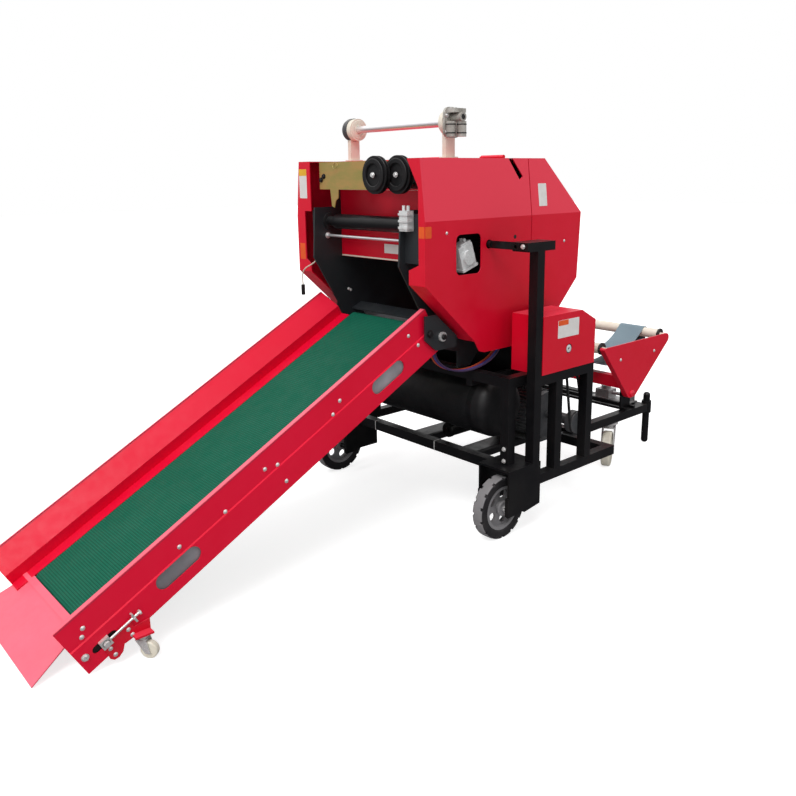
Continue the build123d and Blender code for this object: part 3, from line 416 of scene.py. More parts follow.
def tread_pattern(tree, shade, height):
    """Tread scuffed to a lighter grey on the running face, beyond a radius from the axle."""
    scuffed_grey, running_face = (0.215, 0.208, 0.215), (0.1200, 0.1235)
    where = object_axes(tree)
    centre = placed((0, *AXLE))
    radius = length_of(tree, *[math_node(tree, "ADD", where[i], -centre[i]) for i in (1, 2)])
    return mixed(tree, ramp(tree, radius, *running_face), shade, scuffed_grey), height


def woven(tree, shade, height):
    """Woven band: fine threads both ways, the product of two waves, with a painted highlight, paler where
    they rise.
    """
    where = object_axes(tree)
    # the pale grey is a painted highlight on the rising threads
    rate, thread_highlight_grey = 1400.0, (0.45, 0.5, 0.56)
    crossing = math_node(tree, "MULTIPLY", *[wave(tree, where[i], rate) for i in (0, 1)])
    threads = ramp(tree, crossing, -0.6, 0.6)
    paler = ramp(tree, threads, 0, 1, 0.0, 0.3)
    return mixed(tree, paler, shade, thread_highlight_grey), math_node(tree, "ADD", height, threads)


RUST = (0.16, 0.06, 0.03)
finishes = {
    # the red paint carries a painted sheen, paler on faces that lean towards the sky
    "red_paint": coat("red_paint", (0.63, 0.002, 0.018), (0.69, 0.004, 0.028), 0.34, gloss=0.10, patch=1.6,
                      fine=(300.0, 0.12, 0.5), bump=0.05, dust=0.02, worn=(0.26, 0.008, 0.012), wear=0.4,
                      specular=0.26, pattern=painted_sky_sheen),
    "black_paint": coat("black_paint", (0.0035, 0.0035, 0.0045), (0.006, 0.0055, 0.006), 0.36, gloss=0.1,
                        patch=6.0, bump=0.08, dust=0.03, worn=(0.05, 0.045, 0.04), wear=0.3, specular=0.25),
    "zinc_plate": coat("zinc_plate", (0.76, 0.75, 0.74), (0.62, 0.61, 0.61), 0.30, metal=0.5, patch=14.0,
                       dust=0.15, worn=RUST, wear=0.15),
    "yellow_zinc": coat("yellow_zinc", (0.52, 0.32, 0.11), (0.36, 0.31, 0.09), 0.36, metal=0.4, patch=9.0,
                        dust=0.1, worn=RUST, wear=0.25, stretch=(1.0, 1.0, 3.0)),
    "grey_rubber": coat("grey_rubber", (0.011, 0.010, 0.012), (0.020, 0.018, 0.021), 0.74, patch=10.0,
                        fine=(900.0, 0.8, 0.2), bump=0.3, dust=0.06, specular=0.3, pattern=tread_pattern),
    "rim_grey": coat("rim_grey", (0.25, 0.245, 0.255), (0.19, 0.185, 0.195), 0.46, patch=12.0, bump=0.12,
                     dust=0.15, worn=(0.3, 0.3, 0.31), wear=0.4),
    "white_wheel": coat("white_wheel", (0.76, 0.73, 0.63), (0.68, 0.63, 0.51), 0.42, patch=16.0, dust=0.35),
    "steel": coat("steel", (0.50, 0.50, 0.51), (0.38, 0.37, 0.37), 0.34, metal=0.7, patch=18.0,
                  stretch=(0.2, 6.0, 6.0), dust=0.2, worn=RUST, wear=0.3),
    "black_plastic": coat("black_plastic", (0.006, 0.006, 0.007), (0.011, 0.010, 0.011), 0.48, patch=20.0,
                          fine=(1200.0, 0.8, 0.1), bump=0.15, dust=0.08, worn=(0.05, 0.045, 0.04), wear=0.4,
                          specular=0.3),
    "motor_grey": coat("motor_grey", (0.05, 0.055, 0.06), (0.08, 0.08, 0.085), 0.5, patch=14.0,
                       fine=(420.0, 1.0, 0.2), bump=0.3, dust=0.35, worn=(0.2, 0.19, 0.18), wear=0.5),
    "cream_paint": coat("cream_paint", (0.84, 0.78, 0.68), (0.76, 0.69, 0.57), 0.42, gloss=0.15, patch=9.0,
                        dust=0.2, worn=(0.36, 0.30, 0.22), wear=0.6),
    "green_belt": coat("green_belt", (0.006, 0.135, 0.078), (0.010, 0.165, 0.098), 0.55, patch=3.0,
                       fine=(900.0, 0.3, 0.1), bump=0.4, dust=0.01, pattern=belt_pattern, specular=0.08),
    "blue_belt": coat("blue_belt", (0.09, 0.16, 0.20), (0.13, 0.21, 0.25), 0.6, patch=7.0, bump=0.3,
                      dust=0.15, pattern=woven),
    "cast_grey": coat("cast_grey", (0.52, 0.52, 0.52), (0.40, 0.40, 0.40), 0.40, metal=0.75, patch=26.0,
                      fine=(380.0, 1.0, 0.1), bump=0.25, dust=0.12, worn=(0.68, 0.68, 0.67), wear=0.6),
    "black_rubber": coat("black_rubber", (0.012, 0.012, 0.013), (0.022, 0.022, 0.022), 0.62, patch=30.0,
                         bump=0.2, dust=0.25),
    "hose_orange": coat("hose_orange", (0.66, 0.10, 0.015), (0.55, 0.075, 0.012), 0.35, gloss=0.2, patch=20.0,
                        dust=0.12),
    "lead_cream": coat("lead_cream", (0.66, 0.61, 0.50), (0.54, 0.49, 0.39), 0.5, patch=30.0, dust=0.2),
}
hose_blue = coat("hose_blue", (0.03, 0.07, 0.40), (0.02, 0.045, 0.28), 0.35, gloss=0.2, patch=20.0, dust=0.1)
hose_red = coat("hose_red", (0.34, 0.02, 0.03), (0.22, 0.015, 0.03), 0.35, gloss=0.2, patch=20.0, dust=0.1)
hose_dark = coat("hose_dark", (0.03, 0.015, 0.05), (0.05, 0.02, 0.08), 0.4, gloss=0.2, patch=20.0, dust=0.1)
# The guards' red is the body's paint made paler, a painted light so the guards look more lit, with painted
# shade on their lips.
guard_red_lit = coat("guard_red_lit", (0.70, 0.002, 0.028), (0.74, 0.004, 0.036), 0.36, patch=1.6,
                 fine=(300.0, 0.12, 0.5), bump=0.05, dust=0.02, worn=(0.30, 0.008, 0.012), wear=0.4,
                 specular=0.16, pattern=painted_lip_shade)
# Red paint washed out to pale pink, a painted highlight of strong light: on the apron, its hem and the strips
# along the guards' lips.
pink_highlight_sheet = coat("pink_highlight_sheet", (0.92, 0.130, 0.200), (0.88, 0.11, 0.17), 0.42, gloss=0.15, patch=2.0,
                  bump=0.05, dust=0.05, worn=(0.6, 0.06, 0.08), wear=0.3)
sticker_white = coat("sticker_white", (0.74, 0.73, 0.72), (0.68, 0.66, 0.64), 0.4, patch=30.0, dust=0.1)
sticker_orange = coat("sticker_orange", (0.80, 0.10, 0.006), (0.72, 0.08, 0.005), 0.4, patch=30.0, dust=0.06)
sticker_yellow = coat("sticker_yellow", (0.80, 0.46, 0.02), (0.74, 0.40, 0.02), 0.4, patch=30.0, dust=0.06)
# Near black for holes, slots, grooves and gaps: painted shade where a recess lies in shadow.
gap_shade_dark = coat("gap_shade_dark", (0.006, 0.006, 0.007), (0.010, 0.009, 0.010), 0.6, patch=30.0, dust=0.05)
bright_bar = coat("bright_bar", (0.90, 0.89, 0.91), (0.80, 0.78, 0.81), 0.36, metal=0.85, patch=12.0,
                  stretch=(0.3, 5.0, 5.0), dust=0.05)
# Two greys in broad patches, painted light and shade for the inside seen through a guard's slots.
slot_light_shade_grey = coat("slot_light_shade_grey", (0.34, 0.34, 0.37), (0.17, 0.17, 0.185), 0.4, patch=5.0, dust=0.02)
clamp_alloy = coat("clamp_alloy", (0.56, 0.54, 0.50), (0.30, 0.28, 0.25), 0.42, metal=0.3, patch=20.0,
                   bump=0.1, fine=(300.0, 0.4, 0.1), dust=0.05, worn=(0.7, 0.68, 0.65), wear=0.6)
valve_alloy = coat("valve_alloy", (0.78, 0.79, 0.79), (0.60, 0.61, 0.61), 0.3, metal=0.2, patch=30.0,
                   dust=0.05, worn=(0.8, 0.8, 0.8), wear=0.6)
# Black lifted well above the black paint for the chamber plates and feed floor, a painted light so their
# shaded faces look less dark.
inner_black_lit = coat("inner_black_lit", (0.016, 0.018, 0.021), (0.023, 0.027, 0.030), 0.4, patch=3.0, dust=0.03,
                   worn=(0.06, 0.06, 0.06), wear=0.4, specular=0.4)
own_finish = {
    "conveyor_left_side": guard_red_lit,
    "conveyor_right_side": guard_red_lit,
    "conveyor_apron": pink_highlight_sheet,
    "chamber_plates": inner_black_lit,
    "feed_floor": inner_black_lit,
    "roof_clamp": clamp_alloy,
    "roll_bar": bright_bar,
    "window_cylinder": valve_alloy,
    "mouth_valve": valve_alloy,
    "air_tank": finishes["black_plastic"],
    "wrap_drive": finishes["cast_grey"],
}

for part in frame["record"]["subparts"]:
    for place in frame["nodes"][part["node"]].material_slots:
        place.material = finishes[part["material_slot"]]
for node, finish in own_finish.items():
    for place in frame["nodes"][node].material_slots:
        place.material = finish
ZINC, BLACK, RED = finishes["zinc_plate"], finishes["black_plastic"], finishes["red_paint"]


# Forms
SAME_POINT = 2e-6  # metres within which two points are one


def skin(name, grids, body, finish, crease=32):
    """Piece from grids (item, row, column, xyz) in millimetres: quads between neighbours, each row closed."""
    mesh = bpy.data.meshes.new(name)
    points, quads, start = [], [], 0
    for grid in grids:
        grid = np.asarray(grid, float)
        grid = grid.reshape((-1,) + grid.shape[-3:])
        index = np.arange(grid[..., 0].size).reshape(grid.shape[:3]) + start
        turned_on = np.roll(index, -1, axis=2)
        corners = [index[:, :-1], turned_on[:, :-1], turned_on[:, 1:], index[:, 1:]]
        quads.append(np.stack(corners, -1).reshape(-1, 4))
        points.append(grid.reshape(-1, 3))
        start += grid[..., 0].size
    mesh.from_pydata(placed(np.concatenate(points)).tolist(), [], np.concatenate(quads).tolist())
    work = bmesh.new()
    work.from_mesh(mesh)
    bmesh.ops.remove_doubles(work, verts=work.verts, dist=SAME_POINT)
    bmesh.ops.dissolve_degenerate(work, edges=work.edges, dist=SAME_POINT)
    bmesh.ops.recalc_face_normals(work, faces=work.faces)
    work.to_mesh(mesh)
    work.free()
    mesh.shade_smooth()
    mesh.set_sharp_from_angle(angle=math.radians(crease))
    piece = bpy.data.objects.new(name, mesh)
    bpy.context.scene.collection.objects.link(piece)
    mesh.materials.append(finish)
    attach(piece, body)
    return piece


def axes(direction):
    """Unit vector along a direction and two square to it."""
    w = np.asarray(direction, float)
    w = w / np.linalg.norm(w)
    u = np.cross(w, (0, 0, 1) if abs(w[2]) < 0.9 else (1, 0, 0))
    u = u / np.linalg.norm(u)
    return w, u, np.cross(w, u)


def turned(profile, places, direction, sides=28, flats=0):
    """Turned form at each place: radius by distance along, round a circle or a polygon of so many flats."""
    along, radius = np.asarray(profile, float).T
    angle = np.arange(sides) * 2 * math.pi / sides
    shape = np.ones(sides)
    if flats:
        half = math.pi / flats
        shape = math.cos(half) / np.cos(angle % (2 * half) - half)
    w, u, v = axes(direction)
    ring = np.cos(angle)[:, None] * u + np.sin(angle)[:, None] * v
    form = along[:, None, None] * w + (radius[:, None] * shape)[..., None] * ring
    return np.atleast_2d(np.asarray(places, float))[:, None, None, :] + form


def block(centre, size, edge=1.5, corner=3.0, along=2):
    """Block with rounded corners and eased ends: a rounded rectangle, less by the edge at both ends."""
    others = [i for i in range(3) if i != along]
    half = np.asarray(size, float) / 2
    steps = 5
    quarter = np.linspace(0, math.pi / 2, steps)
    turn = np.repeat(np.arange(4) * math.pi / 2, steps) + np.tile(quarter, 4)
    diagonal = turn[steps // 2::steps].repeat(steps)
    middle = np.sign(np.stack([np.cos(diagonal), np.sin(diagonal)], 1)) * (half[others] - corner)
    arc = np.stack([np.cos(turn), np.sin(turn)], 1)
    grid = np.zeros((6, 4 * steps, 3))
    ends = ((-1, None), (-1, corner - edge), (-1, corner), (1, corner), (1, corner - edge), (1, None))
    for row, (place, radius) in enumerate(ends):
        step = half[along] - (edge if row in (2, 3) else 0)
        grid[row, :, along] = place * step
        if radius is not None:
            grid[row][:, others] = middle + radius * arc
    return (grid + np.asarray(centre, float))[None]


def tube(path, radius, sides=12):
    """Round wire carried along a path: a circle square to each step, closed at both ends."""
    path = np.asarray(path, float)
    step = np.gradient(path, axis=0)
    step /= np.linalg.norm(step, axis=1, keepdims=True)
    helper = np.array((0.31, 0.22, 0.93))
    u = np.cross(step, helper)
    u /= np.linalg.norm(u, axis=1, keepdims=True)
    v = np.cross(step, u)
    angle = np.arange(sides) * 2 * math.pi / sides
    c, s = np.cos(angle)[None, :, None], np.sin(angle)[None, :, None]
    ring = path[:, None] + radius * (c * u[:, None] + s * v[:, None])
    ends = [np.repeat(p[None, None], sides, 1) for p in (path[0], path[-1])]
    return np.concatenate([ends[0], ring, ends[1]])[None]


def band(outline, width, thick, across):
    """Flat band round a closed outline on the two other axes, width across and thick outwards."""
    outline = np.asarray(outline, float)
    ahead = np.roll(outline, -1, 0) - np.roll(outline, 1, 0)
    ahead /= np.linalg.norm(ahead, axis=1, keepdims=True)
    outward = np.stack([ahead[:, 1], -ahead[:, 0]], 1)
    section = np.array(((-width / 2, 0), (width / 2, 0), (width / 2, thick), (-width / 2, thick)))
    others = [i for i in range(3) if i != across]
    grid = np.zeros((len(outline) + 1, 4, 3))
    rows = np.arange(len(outline) + 1) % len(outline)
    grid[:, :, across] = section[None, :, 0]
    grid[:, :, others] = outline[rows][:, None] + outward[rows][:, None] * section[None, :, 1:2]
    return grid[None]


def sheet_on_slope(outline, x):
    """Flat piece on the conveyor's side: a convex outline of (along, above), between two x."""
    ring = np.array([on_slope(a, n) for a, n in outline])
    middle = np.repeat(ring.mean(0)[None], len(ring), 0)
    faces = ((0, middle), (0, ring), (1, ring), (1, middle))
    rows = [np.column_stack([np.full(len(ring), x[i]), line]) for i, line in faces]
    return np.stack(rows)[None]


def slot_outline(along, above, length, height, steps=10):
    """Round-ended outline, its long axis down the slope."""
    turn = np.linspace(-math.pi / 2, math.pi / 2, steps)
    half = (length - height) / 2
    right = [(along + half + height / 2 * math.cos(a), above + height / 2 * math.sin(a)) for a in turn]
    return right + [(2 * along - a, 2 * above - n) for a, n in right]


def solid(start, end, radius):
    """Profile of a plain rod or disc between two places along its axis."""
    return [(start, 0), (start, radius), (end, radius), (end, 0)]


def hollow(start, end, inner, outer):
    """Profile of a ring between two places along its axis and two radii."""
    return [(start, inner), (start, outer), (end, outer), (end, inner), (start, inner)]


def bolts(places, direction, size=8.0, washer=True):
    """Hexagon heads on washers: six-sided turned form, chamfered on top, over a flat ring."""
    head = [(0, 0), (0, size * 0.92), (size * 0.55, size * 0.92), (size * 0.65, size * 0.8), (size * 0.65, 0)]
    ring = [(0, 0), (0, size * 1.15), (size * 0.16, size * 1.15), (size * 0.16, 0)]
    w = axes(direction)[0]
    lifted = np.atleast_2d(np.asarray(places, float)) + w * size * 0.15
    forms = [turned(head, lifted, direction, 24, 6)]
    if washer:
        forms.append(turned(ring, places, direction, 24))
    return forms


def rounds(places, direction, size=7.0):
    """Round heads: a low dome, its height falling as the square of the radius."""
    share = np.linspace(0, 1, 6)
    dome = [(0, 0), (0, size)] + [(size * 0.55 * (1 - (1 - t) ** 2), size * (1 - t)) for t in share]
    return [turned(dome, places, direction, 20)]


# Wheels
def tyre(side, name, body):
    """Solid tyre: a rounded section turned about the axle, with notches cut into both shoulders by waves
    round the wheel, one shoulder's half a pitch on from the other's."""
    steps, columns, power = 560, 44, 0.32
    notches, depth, smooth_half = 14, 7.0, 13
    t = np.linspace(0, 2 * math.pi, columns, endpoint=False)
    across = np.sign(np.cos(t)) * np.abs(np.cos(t)) ** power
    down = np.sign(np.sin(t)) * np.abs(np.sin(t)) ** power
    outer, inner = TYRE["d"] / 2, TYRE["rim"] / 2 - 0.5
    x = across * TYRE["width"] / 2
    radius = (outer + inner) / 2 + down * (outer - inner) / 2
    angle = np.linspace(0, 2 * math.pi, steps + 1)
    waves = np.cos(notches * angle[:, None] + math.pi * (x[None] > 0))
    groove = np.clip((waves - 0.76) / 0.07, 0, 1)
    shoulder = np.clip((np.abs(x) - smooth_half) / 2, 0, 1) * np.clip((radius - outer + 15) / 4, 0, 1)
    deep = radius[None] - depth * groove * shoulder[None]
    grid = np.stack([np.broadcast_to(side * TYRE["x"] + x, deep.shape),
                     TYRE["y"] + deep * np.cos(angle)[:, None],
                     outer + deep * np.sin(angle)[:, None]], -1)
    piece = skin(name, [grid], body, finishes["grey_rubber"], 40)
    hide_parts(f"{name.split('_tread')[0]}")


def hub_cap(side, name, body):
    """Domed cap over the hub, with five round heads in a circle on the wheel's disc."""
    y, z = AXLE
    ring, fifth, first = 40, 1.2566, 0.63
    dome = [(-4, 0), (-4, 30), (-1, 31), (2, 27), (3, 14), (5, 13), (6, 0)]
    head = [(-6, 0), (-6, 8), (-1, 8), (0, 0)]
    places = [(side * (TYRE["x"] + 5), y + ring * math.cos(a), z + ring * math.sin(a))
              for a in np.arange(5) * fifth + first]
    cap = turned(dome, (side * (TYRE["x"] + 25), y, z), (side, 0, 0))
    skin(name, [cap, turned(head, places, (side, 0, 0), 18)], body, finishes["rim_grey"])


for side, name in SIDES:
    tyre(side, f"{name}_tyre_tread", f"front_{name}_wheel")
    hub_cap(side, f"{name}_hub_cap", f"front_{name}_wheel")
    skin(f"{name}_axle_nut", bolts((side * (TYRE["x"] + 33), *AXLE), (side, 0, 0), 12), "base", ZINC)


# Fittings of the conveyor
def guard_fixings(side, name):
    """Heads along a side guard, bolts of its lug and pin, and nuts of the belt's tensioner."""
    out = (side, 0, 0)
    guard, joggle, set_in = side * LIP["outer"], -84, 4
    first_drum = on_slope(DRUMS["first"], DRUMS["above"])
    last_drum = on_slope(DRUMS["last"], DRUMS["above"])
    spots = [(114, -40), (94, -96), (481, -51), (528, -75), (789, -76), (833, -56), (793, -145), (1014, -76),
             (1187, -59), (1527, -46), (1544, -67)]
    heads = [(guard - side * (set_in if above > joggle else 0), *on_slope(along, above))
             for along, above in spots]
    corner = (guard, *on_slope(1572, -123))
    skin(f"{name}_guard_bolts", rounds(heads, out, 7.5) + bolts(corner, out, 10), "conveyor", ZINC)
    lug, pin = (side * 344, -183, 813), (side * 352, *first_drum)
    skin(f"{name}_lug_bolts", bolts(lug, out, 13) + bolts(pin, out, 12, False), "base", BLACK)
    screw = [(side * 337.3, *on_slope(along, DRUMS["above"])) for along in (1391, 1413)]
    down_slope = (0, math.cos(LIP["slope"]), math.sin(LIP["slope"]))
    nuts = bolts((side * 342.5, *last_drum), out, 11, False)
    nuts.append(turned(solid(0, 7, 8), screw, down_slope, 24, 6))
    skin(f"{name}_tension_nuts", nuts, "conveyor", ZINC)


def guard_plates(side, name):
    """Plates behind a guard's slots, grey with painted light and shade and near black with painted shade, its
    foot plate, and a pale strip of painted highlight along the edge of its lip.
    """
    out = (side, 0, 0)
    behind = (side * 318, side * 321.8)
    # grey plates behind the slots with painted light and shade of the inside
    liners = [sheet_on_slope(slot_outline(along, -112, 190, 74), behind) for along in (268, 1225)]
    skin(f"{name}_slot_liners", liners, "conveyor", slot_light_shade_grey)
    # near black sheet behind the tension slot: painted shade
    tension = slot_outline(DRUMS["last"], DRUMS["above"], 118, 34)
    skin(f"{name}_tension_slot", [sheet_on_slope(tension, behind)], "conveyor", gap_shade_dark)
    plate = [(1424, -128), (1424, -174), (1430, -182), (1450, -182), (1473, -178), (1488, -194), (1506, -200),
             (1520, -196), (1527, -184), (1520, -136)]
    near, far = side * 330.2, side * 335.6
    skin(f"{name}_foot_plate", [sheet_on_slope(plate, (near, far))], "conveyor", RED)
    heads = [(far, *on_slope(*spot)) for spot in ((1509, -157), (1509, -184), (1441, -150), (1441, -173))]
    skin(f"{name}_foot_plate_bolts", rounds(heads, out, 7), "conveyor", ZINC)
    # pale pink strip along the lip: painted highlight
    skin(f"{name}_lip_highlight", [lip_strip(side)], "conveyor", pink_highlight_sheet)


def lip_strip(side):
    """Thin strip that lies on a guard's lip for all its length, closed at both ends, for a painted highlight
    along the lip.
    """
    inner, outer = 306 if side > 0 else 319, 324
    foot, top = 0.4, 2.4
    start, end, cap = 4, 1594, 0.01
    section = ((inner, foot), (outer, foot), (outer, top), (inner, top))
    strip = np.array([[(side * x, *on_slope(along, above)) for x, above in section]
                      for along in (start, start + cap, end, end + cap)])
    for row in (0, 3):
        strip[row] = strip[row].mean(0)
    return strip[None]


for side, name in SIDES:
    guard_fixings(side, name)
for side, name in SIDES:
    guard_plates(side, name)


# Bolts and small fittings of the body, the mouth and the cradle
RIGHT, LEFT, FRONT, UP = (1, 0, 0), (-1, 0, 0), (0, -1, 0), (0, 0, 1)
skin("panel_bolts", rounds((SIDE_PANEL, -141, 1181), RIGHT, 6), "base", ZINC)
skin("tailgate_bolts", rounds((SIDE_PANEL, 540, 1112), RIGHT, 6), "tailgate", ZINC)
bracket = [(x, 50, z) for x in (510, -510) for z in (302, 350)]
skin("bracket_bolts", bolts(bracket, FRONT, 8), "base", ZINC)
plate_heads = [rounds([(side * CRADLE_PLATE, y, 516) for y in (1050, 1340)], (side, 0, 0), 8)
               for side in (1, -1)]
skin("cradle_bolts", plate_heads[0] + plate_heads[1], "cradle", ZINC)
boss = [(0, 0), (0, 17), (5, 17), (7, 13), (7, 0)]
skin("cradle_bosses", [turned(boss, (side * CRADLE_PLATE, *CRADLE_PIVOT), (side, 0, 0)) for side in (1, -1)],
     "cradle", RED)
skin("disc_bolts", bolts(DISCS, FRONT, 9), "base", ZINC)
skin("twine_plate_bolts", bolts([(-250, -220, 1370), (-232, -220, 1384)], FRONT, 9), "base", BLACK)
chamber_heads = rounds([(-CHAMBER, -89, 914), (-CHAMBER, -78, 909)], RIGHT, 7)
flange_heads = rounds([(262, -232, 1105), (344, -232, 1090)], FRONT, 5)
skin("chamber_bolts", chamber_heads + flange_heads, "base", ZINC)
collar, neck = [(0, 0), (0, 34), (4, 34), (6, 29), (6, 0)], [(0, 0), (0, 20), (20, 19), (40, 18), (40, 0)]
feed_rings = [turned(collar, (side * CHAMBER, *FEED_ROLLER), (-side, 0, 0)) for side in (-1, 1)]
feed_rings.append(turned(neck, (6 - CHAMBER, *FEED_ROLLER), RIGHT))
skin("feed_roller_rings", feed_rings, "base", BLACK)
skin("guide_rod_nuts", bolts((-CHAMBER, *GUIDE_ROD), RIGHT, 11), "base", ZINC)
# dark ring round the gear shaft: painted shade in the gap round it
skin("gear_shaft_ring", [turned(hollow(-9.4, -3, 14, 18.9), GEAR_SHAFT, RIGHT, 40)], "base", gap_shade_dark)
shaft_end = [(-6, 0), (-6, 15), (-1.2, 15), (-0.6, 14), (-0.6, 6), (-2, 4), (-2, 0)]
skin("gear_shaft_end", [turned(shaft_end, GEAR_SHAFT, RIGHT, 40)], "base", valve_alloy)
rod_half = CHAMBER - 4
skin("guide_rod_sleeve", [turned(solid(0, 2 * rod_half, 5.9), (-rod_half, *GUIDE_ROD), RIGHT, 20)], "base",
     bright_bar)
disc_ring = [(0, 40), (2, 43), (2, 56), (0, 59), (0, 40)]
skin("disc_rings", [turned(disc_ring, place, FRONT, 48) for place in DISCS], "base", BLACK)
skin("belly_plate", [block((46, 294, 610), (692, 4, 172), 0.8, 6, 1)], "base", finishes["black_paint"])
cylinder = [(0, 0), (0, 27), (3, 32), (12, 33), (14, 31), (206, 31), (208, 33), (220, 33), (224, 29),
            (224, 10), (230, 10), (230, 0)]
skin("rail_cylinder", [turned(cylinder, (78, 392, 300), FRONT, 40)], "base", finishes["black_paint"])
collars = [turned(hollow(0, 7, 9, 29), (side * 322, *axis), (side, 0, 0), 32)
           for side in (-1, 1) for axis in CRADLE_ROLLERS]
skin("roller_collars", collars, "cradle", finishes["black_rubber"])
# dark disc for a hole in the side panel: painted shade
skin("panel_hole", [turned(solid(0, 0.4, 8), (SIDE_PANEL, 230, 1147), RIGHT, 24)], "base", gap_shade_dark)
edges = [block((0, -119.4, z), (2 * CHAMBER - 4, 3, 6), 0.6, 1.2, 0) for z in (1332, 1062)]
skin("front_panel_edges", edges, "base", finishes["cream_paint"])
skin("arm_bolt", bolts((560, 78, 1128), FRONT, 8), "base", ZINC)


# Stickers: plain plates with nothing on them
def sticker(name, centre, size, thin, finish):
    """Thin plain plate with rounded corners, lying on its panel."""
    whole = list(size)
    whole.insert(thin, 0.5)
    skin(name, [block(centre, whole, 0.12, 2.5, thin)], "base", finish)


def tailgate_plate():
    """Plain plate on the tailgate's side, leaning in with the panel as it rises."""
    foot, height, lean = 1225, 218, 25
    plate = block((0, 402, 1302), (0.6, 50, 88), 0.15, 3, 0)
    plate[..., 0] += SIDE_PANEL + 0.4 - lean * (plate[..., 2] - foot) / height
    skin("tailgate_plate", [plate], "tailgate", sticker_white)


sticker("left_plate", (-340, -248.3, 1355), (52, 116), 1, sticker_white)
sticker("left_plate_head", (-340, -248.6, 1400), (52, 26), 1, sticker_yellow)
sticker("left_tag", (-360, -248.3, 1080), (36, 66), 1, sticker_orange)
sticker("right_tag", (374, -248.3, 1188), (29, 40), 1, sticker_orange)
sticker("right_tag_side", (SIDE_PANEL + 0.3, -232, 1188), (30, 40), 0, sticker_orange)
sticker("gear_plate", (GEAR_SHAFT[0] + 0.3, 330, 800), (132, 70), 0, sticker_white)
sticker("gear_plate_head", (GEAR_SHAFT[0] + 0.6, 297, 824), (62, 20), 0, sticker_orange)
sticker("mouth_plate", (62, -118.3, 1104), (92, 36), 1, sticker_white)
tailgate_plate()


# Motor fins, tank bands and ties
def circle(steps):
    """Angles of even steps round a full circle, the first one at zero."""
    return np.linspace(0, 2 * math.pi, steps + 1)[:-1]


def motor_fins():
    """Fins along the motor: a closed tube whose radius stands out and back with a wave round its axis."""
    fins, steps, core, root, tall = 36, 288, 99, 100.3, 6.5
    start, end = 168, 352
    angle = circle(steps)
    outer = root + tall * np.clip((np.cos(fins * angle) + 0.2) / 0.4, 0, 1)
    rows = np.array(((start, 0.0), (start, 1.0), (end, 1.0), (end, 0.0)))
    radius = core + (outer - core) * rows[:, 1:]
    ribs = np.zeros((1, len(rows), steps, 3))
    ribs[0, :, :, 0] = rows[:, :1]
    ribs[0, :, :, 1] = MOTOR[0] + radius * np.cos(angle)
    ribs[0, :, :, 2] = MOTOR[1] + radius * np.sin(angle)
    return ribs


def tank_band(x):
    """Flat band round the air tank."""
    turn = circle(72)[::-1]
    outline = np.array(TANK) + 125.2 * np.stack([np.cos(turn), np.sin(turn)], 1)
    return band(outline, 28, 1.8, 0) + np.array((x, 0, 0))


def cable_tie(x):
    """Narrow band round a square rail, a little full between the corners."""
    (y, z), half, full = (70, 268), 20, 20.4
    outline = [(-half, -half), (0, -full), (half, -half), (full, 0),
               (half, half), (0, full), (-half, half), (-full, 0)]
    return band(np.array(outline) + (y, z), 3.5, 1.2, 0) + np.array((x, 0, 0))


terminal_box = block((250, 476, 478), (96, 70, 40), 2, 6)
skin("motor_fins", [motor_fins(), terminal_box], "base", finishes["motor_grey"], 25)
skin("tank_bands", [tank_band(x) for x in (-250, 320)], "base", finishes["black_paint"])
skin("cable_ties", [cable_tie(x) for x in (-270, 120)], "base", sticker_white)

# Roof holder, wire and apron
cap = [(0, 0), (0, 40), (2, 42), (5, 40), (6, 20), (6, 0)]
skin("holder_cap", [turned(cap, (-314, *HOLDER), LEFT, 40)], "bar", finishes["motor_grey"])
sleeves = [turned(hollow(0, 9, 40.1, 43), (-304.5, *HOLDER), LEFT, 40),
           turned(hollow(0, 20, 44.1, 46.5), (-284, *HOLDER), LEFT, 40)]
skin("holder_sleeve", sleeves, "base", finishes["motor_grey"])
holder_ring = [(0, 24), (1.5, 26), (1.5, 36), (0, 38), (0, 24)]
skin("holder_rings", [turned(holder_ring, (-258, *HOLDER), RIGHT, 40)], "base", finishes["cream_paint"])
cap_heads = rounds([(x, y, 1618) for x in (302, 322) for y in (-33, 3)], UP, 5)
side_heads = bolts([(292, -43, 1594), (292, 13, 1594), (292, -45, 1536)], RIGHT, 7)
skin("clamp_bolts", cap_heads + side_heads, "base", ZINC)
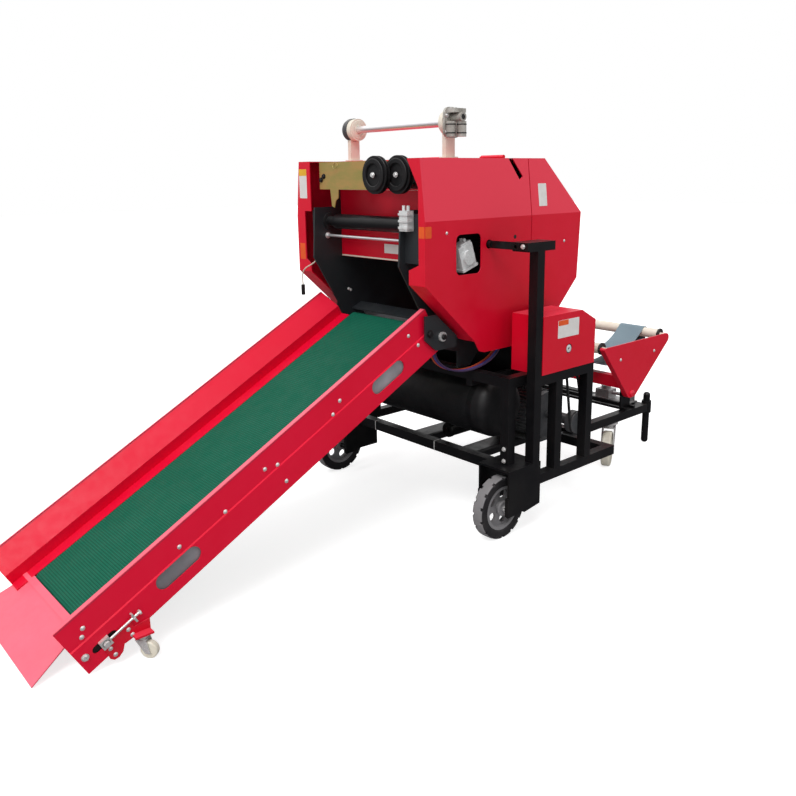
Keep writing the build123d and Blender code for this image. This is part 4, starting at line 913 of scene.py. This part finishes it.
# dark discs and rings for the clamp's holes and grooves: painted shade
holes = [turned(solid(0, 0.5, radius), place, RIGHT, 20)
         for place, radius in (((344, -11, 1588), 9), ((292, 16, 1566), 5))]
grooves = [turned(hollow(0, 4, 17.1, 18), (x, y, z), UP, 32)
           for x, y in ((306, -37), (326, -1)) for z in (1530, 1560)]
skin("clamp_holes", holes + grooves, "base", gap_shade_dark)
turn = circle(24)
loop = np.stack([-150 + 14 * np.cos(turn), -224 + 5 * np.sin(turn), 1424 + 12 * np.sin(turn)], 1)
skin("wire_loops", [tube(loop, 1.2)], "base", finishes["yellow_zinc"])
# the apron's hem in pale pink: painted highlight
hem = [(1527.5, -103.3), (1552, -104.5), (1552, -99), (1527.5, -100.6)]
skin("apron_hem", [sheet_on_slope(hem, (-243.9, 243.9))], "conveyor", pink_highlight_sheet)


# Hoses and the hanging lead
def cord(name, route, diameter, body, finish, node):
    """Round cord: a smooth curve pulled by its route's points, with a full round section."""
    curve = bpy.data.curves.new(name, "CURVE")
    curve.dimensions = "3D"
    spline = curve.splines.new("NURBS")
    spline.points.add(len(route) - 1)
    spline.points.foreach_set("co", np.column_stack([placed(route), np.ones(len(route))]).ravel())
    spline.order_u = 3
    spline.use_endpoint_u = True
    spline.resolution_u = 10
    curve.bevel_depth = diameter / 2000
    curve.bevel_resolution = 5
    curve.use_fill_caps = True
    curve.materials.append(finish)
    piece = bpy.data.objects.new(name, curve)
    bpy.context.scene.collection.objects.link(piece)
    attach(piece, body)
    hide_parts(node)
    return piece


hose_route = np.array([(279, -125, 745.3), (281, -122, 712), (290, -98, 675), (303, -55, 650), (318, -2, 640),
                       (330, 52, 645), (339, 104, 660), (344, 148, 684), (346, 172, 713.2)])
spacing = 9
for place, finish in enumerate((finishes["hose_orange"], hose_red, hose_blue, hose_dark)):
    cord(f"air_hose_{place + 1}", hose_route + np.array((spacing * place, 0, 0)), 8, "base", finish,
         "air_hoses")
lead_route = np.array([(-281, -228, 1072), (-282, -234, 1046), (-294, -256, 1028), (-316, -268, 1016),
                       (-337, -269, 998), (-347, -266, 972), (-349, -263, 942)])
cord("mouth_lead", lead_route, 5, "base", finishes["lead_cream"], "hanging_lead")

camera()
daylight()
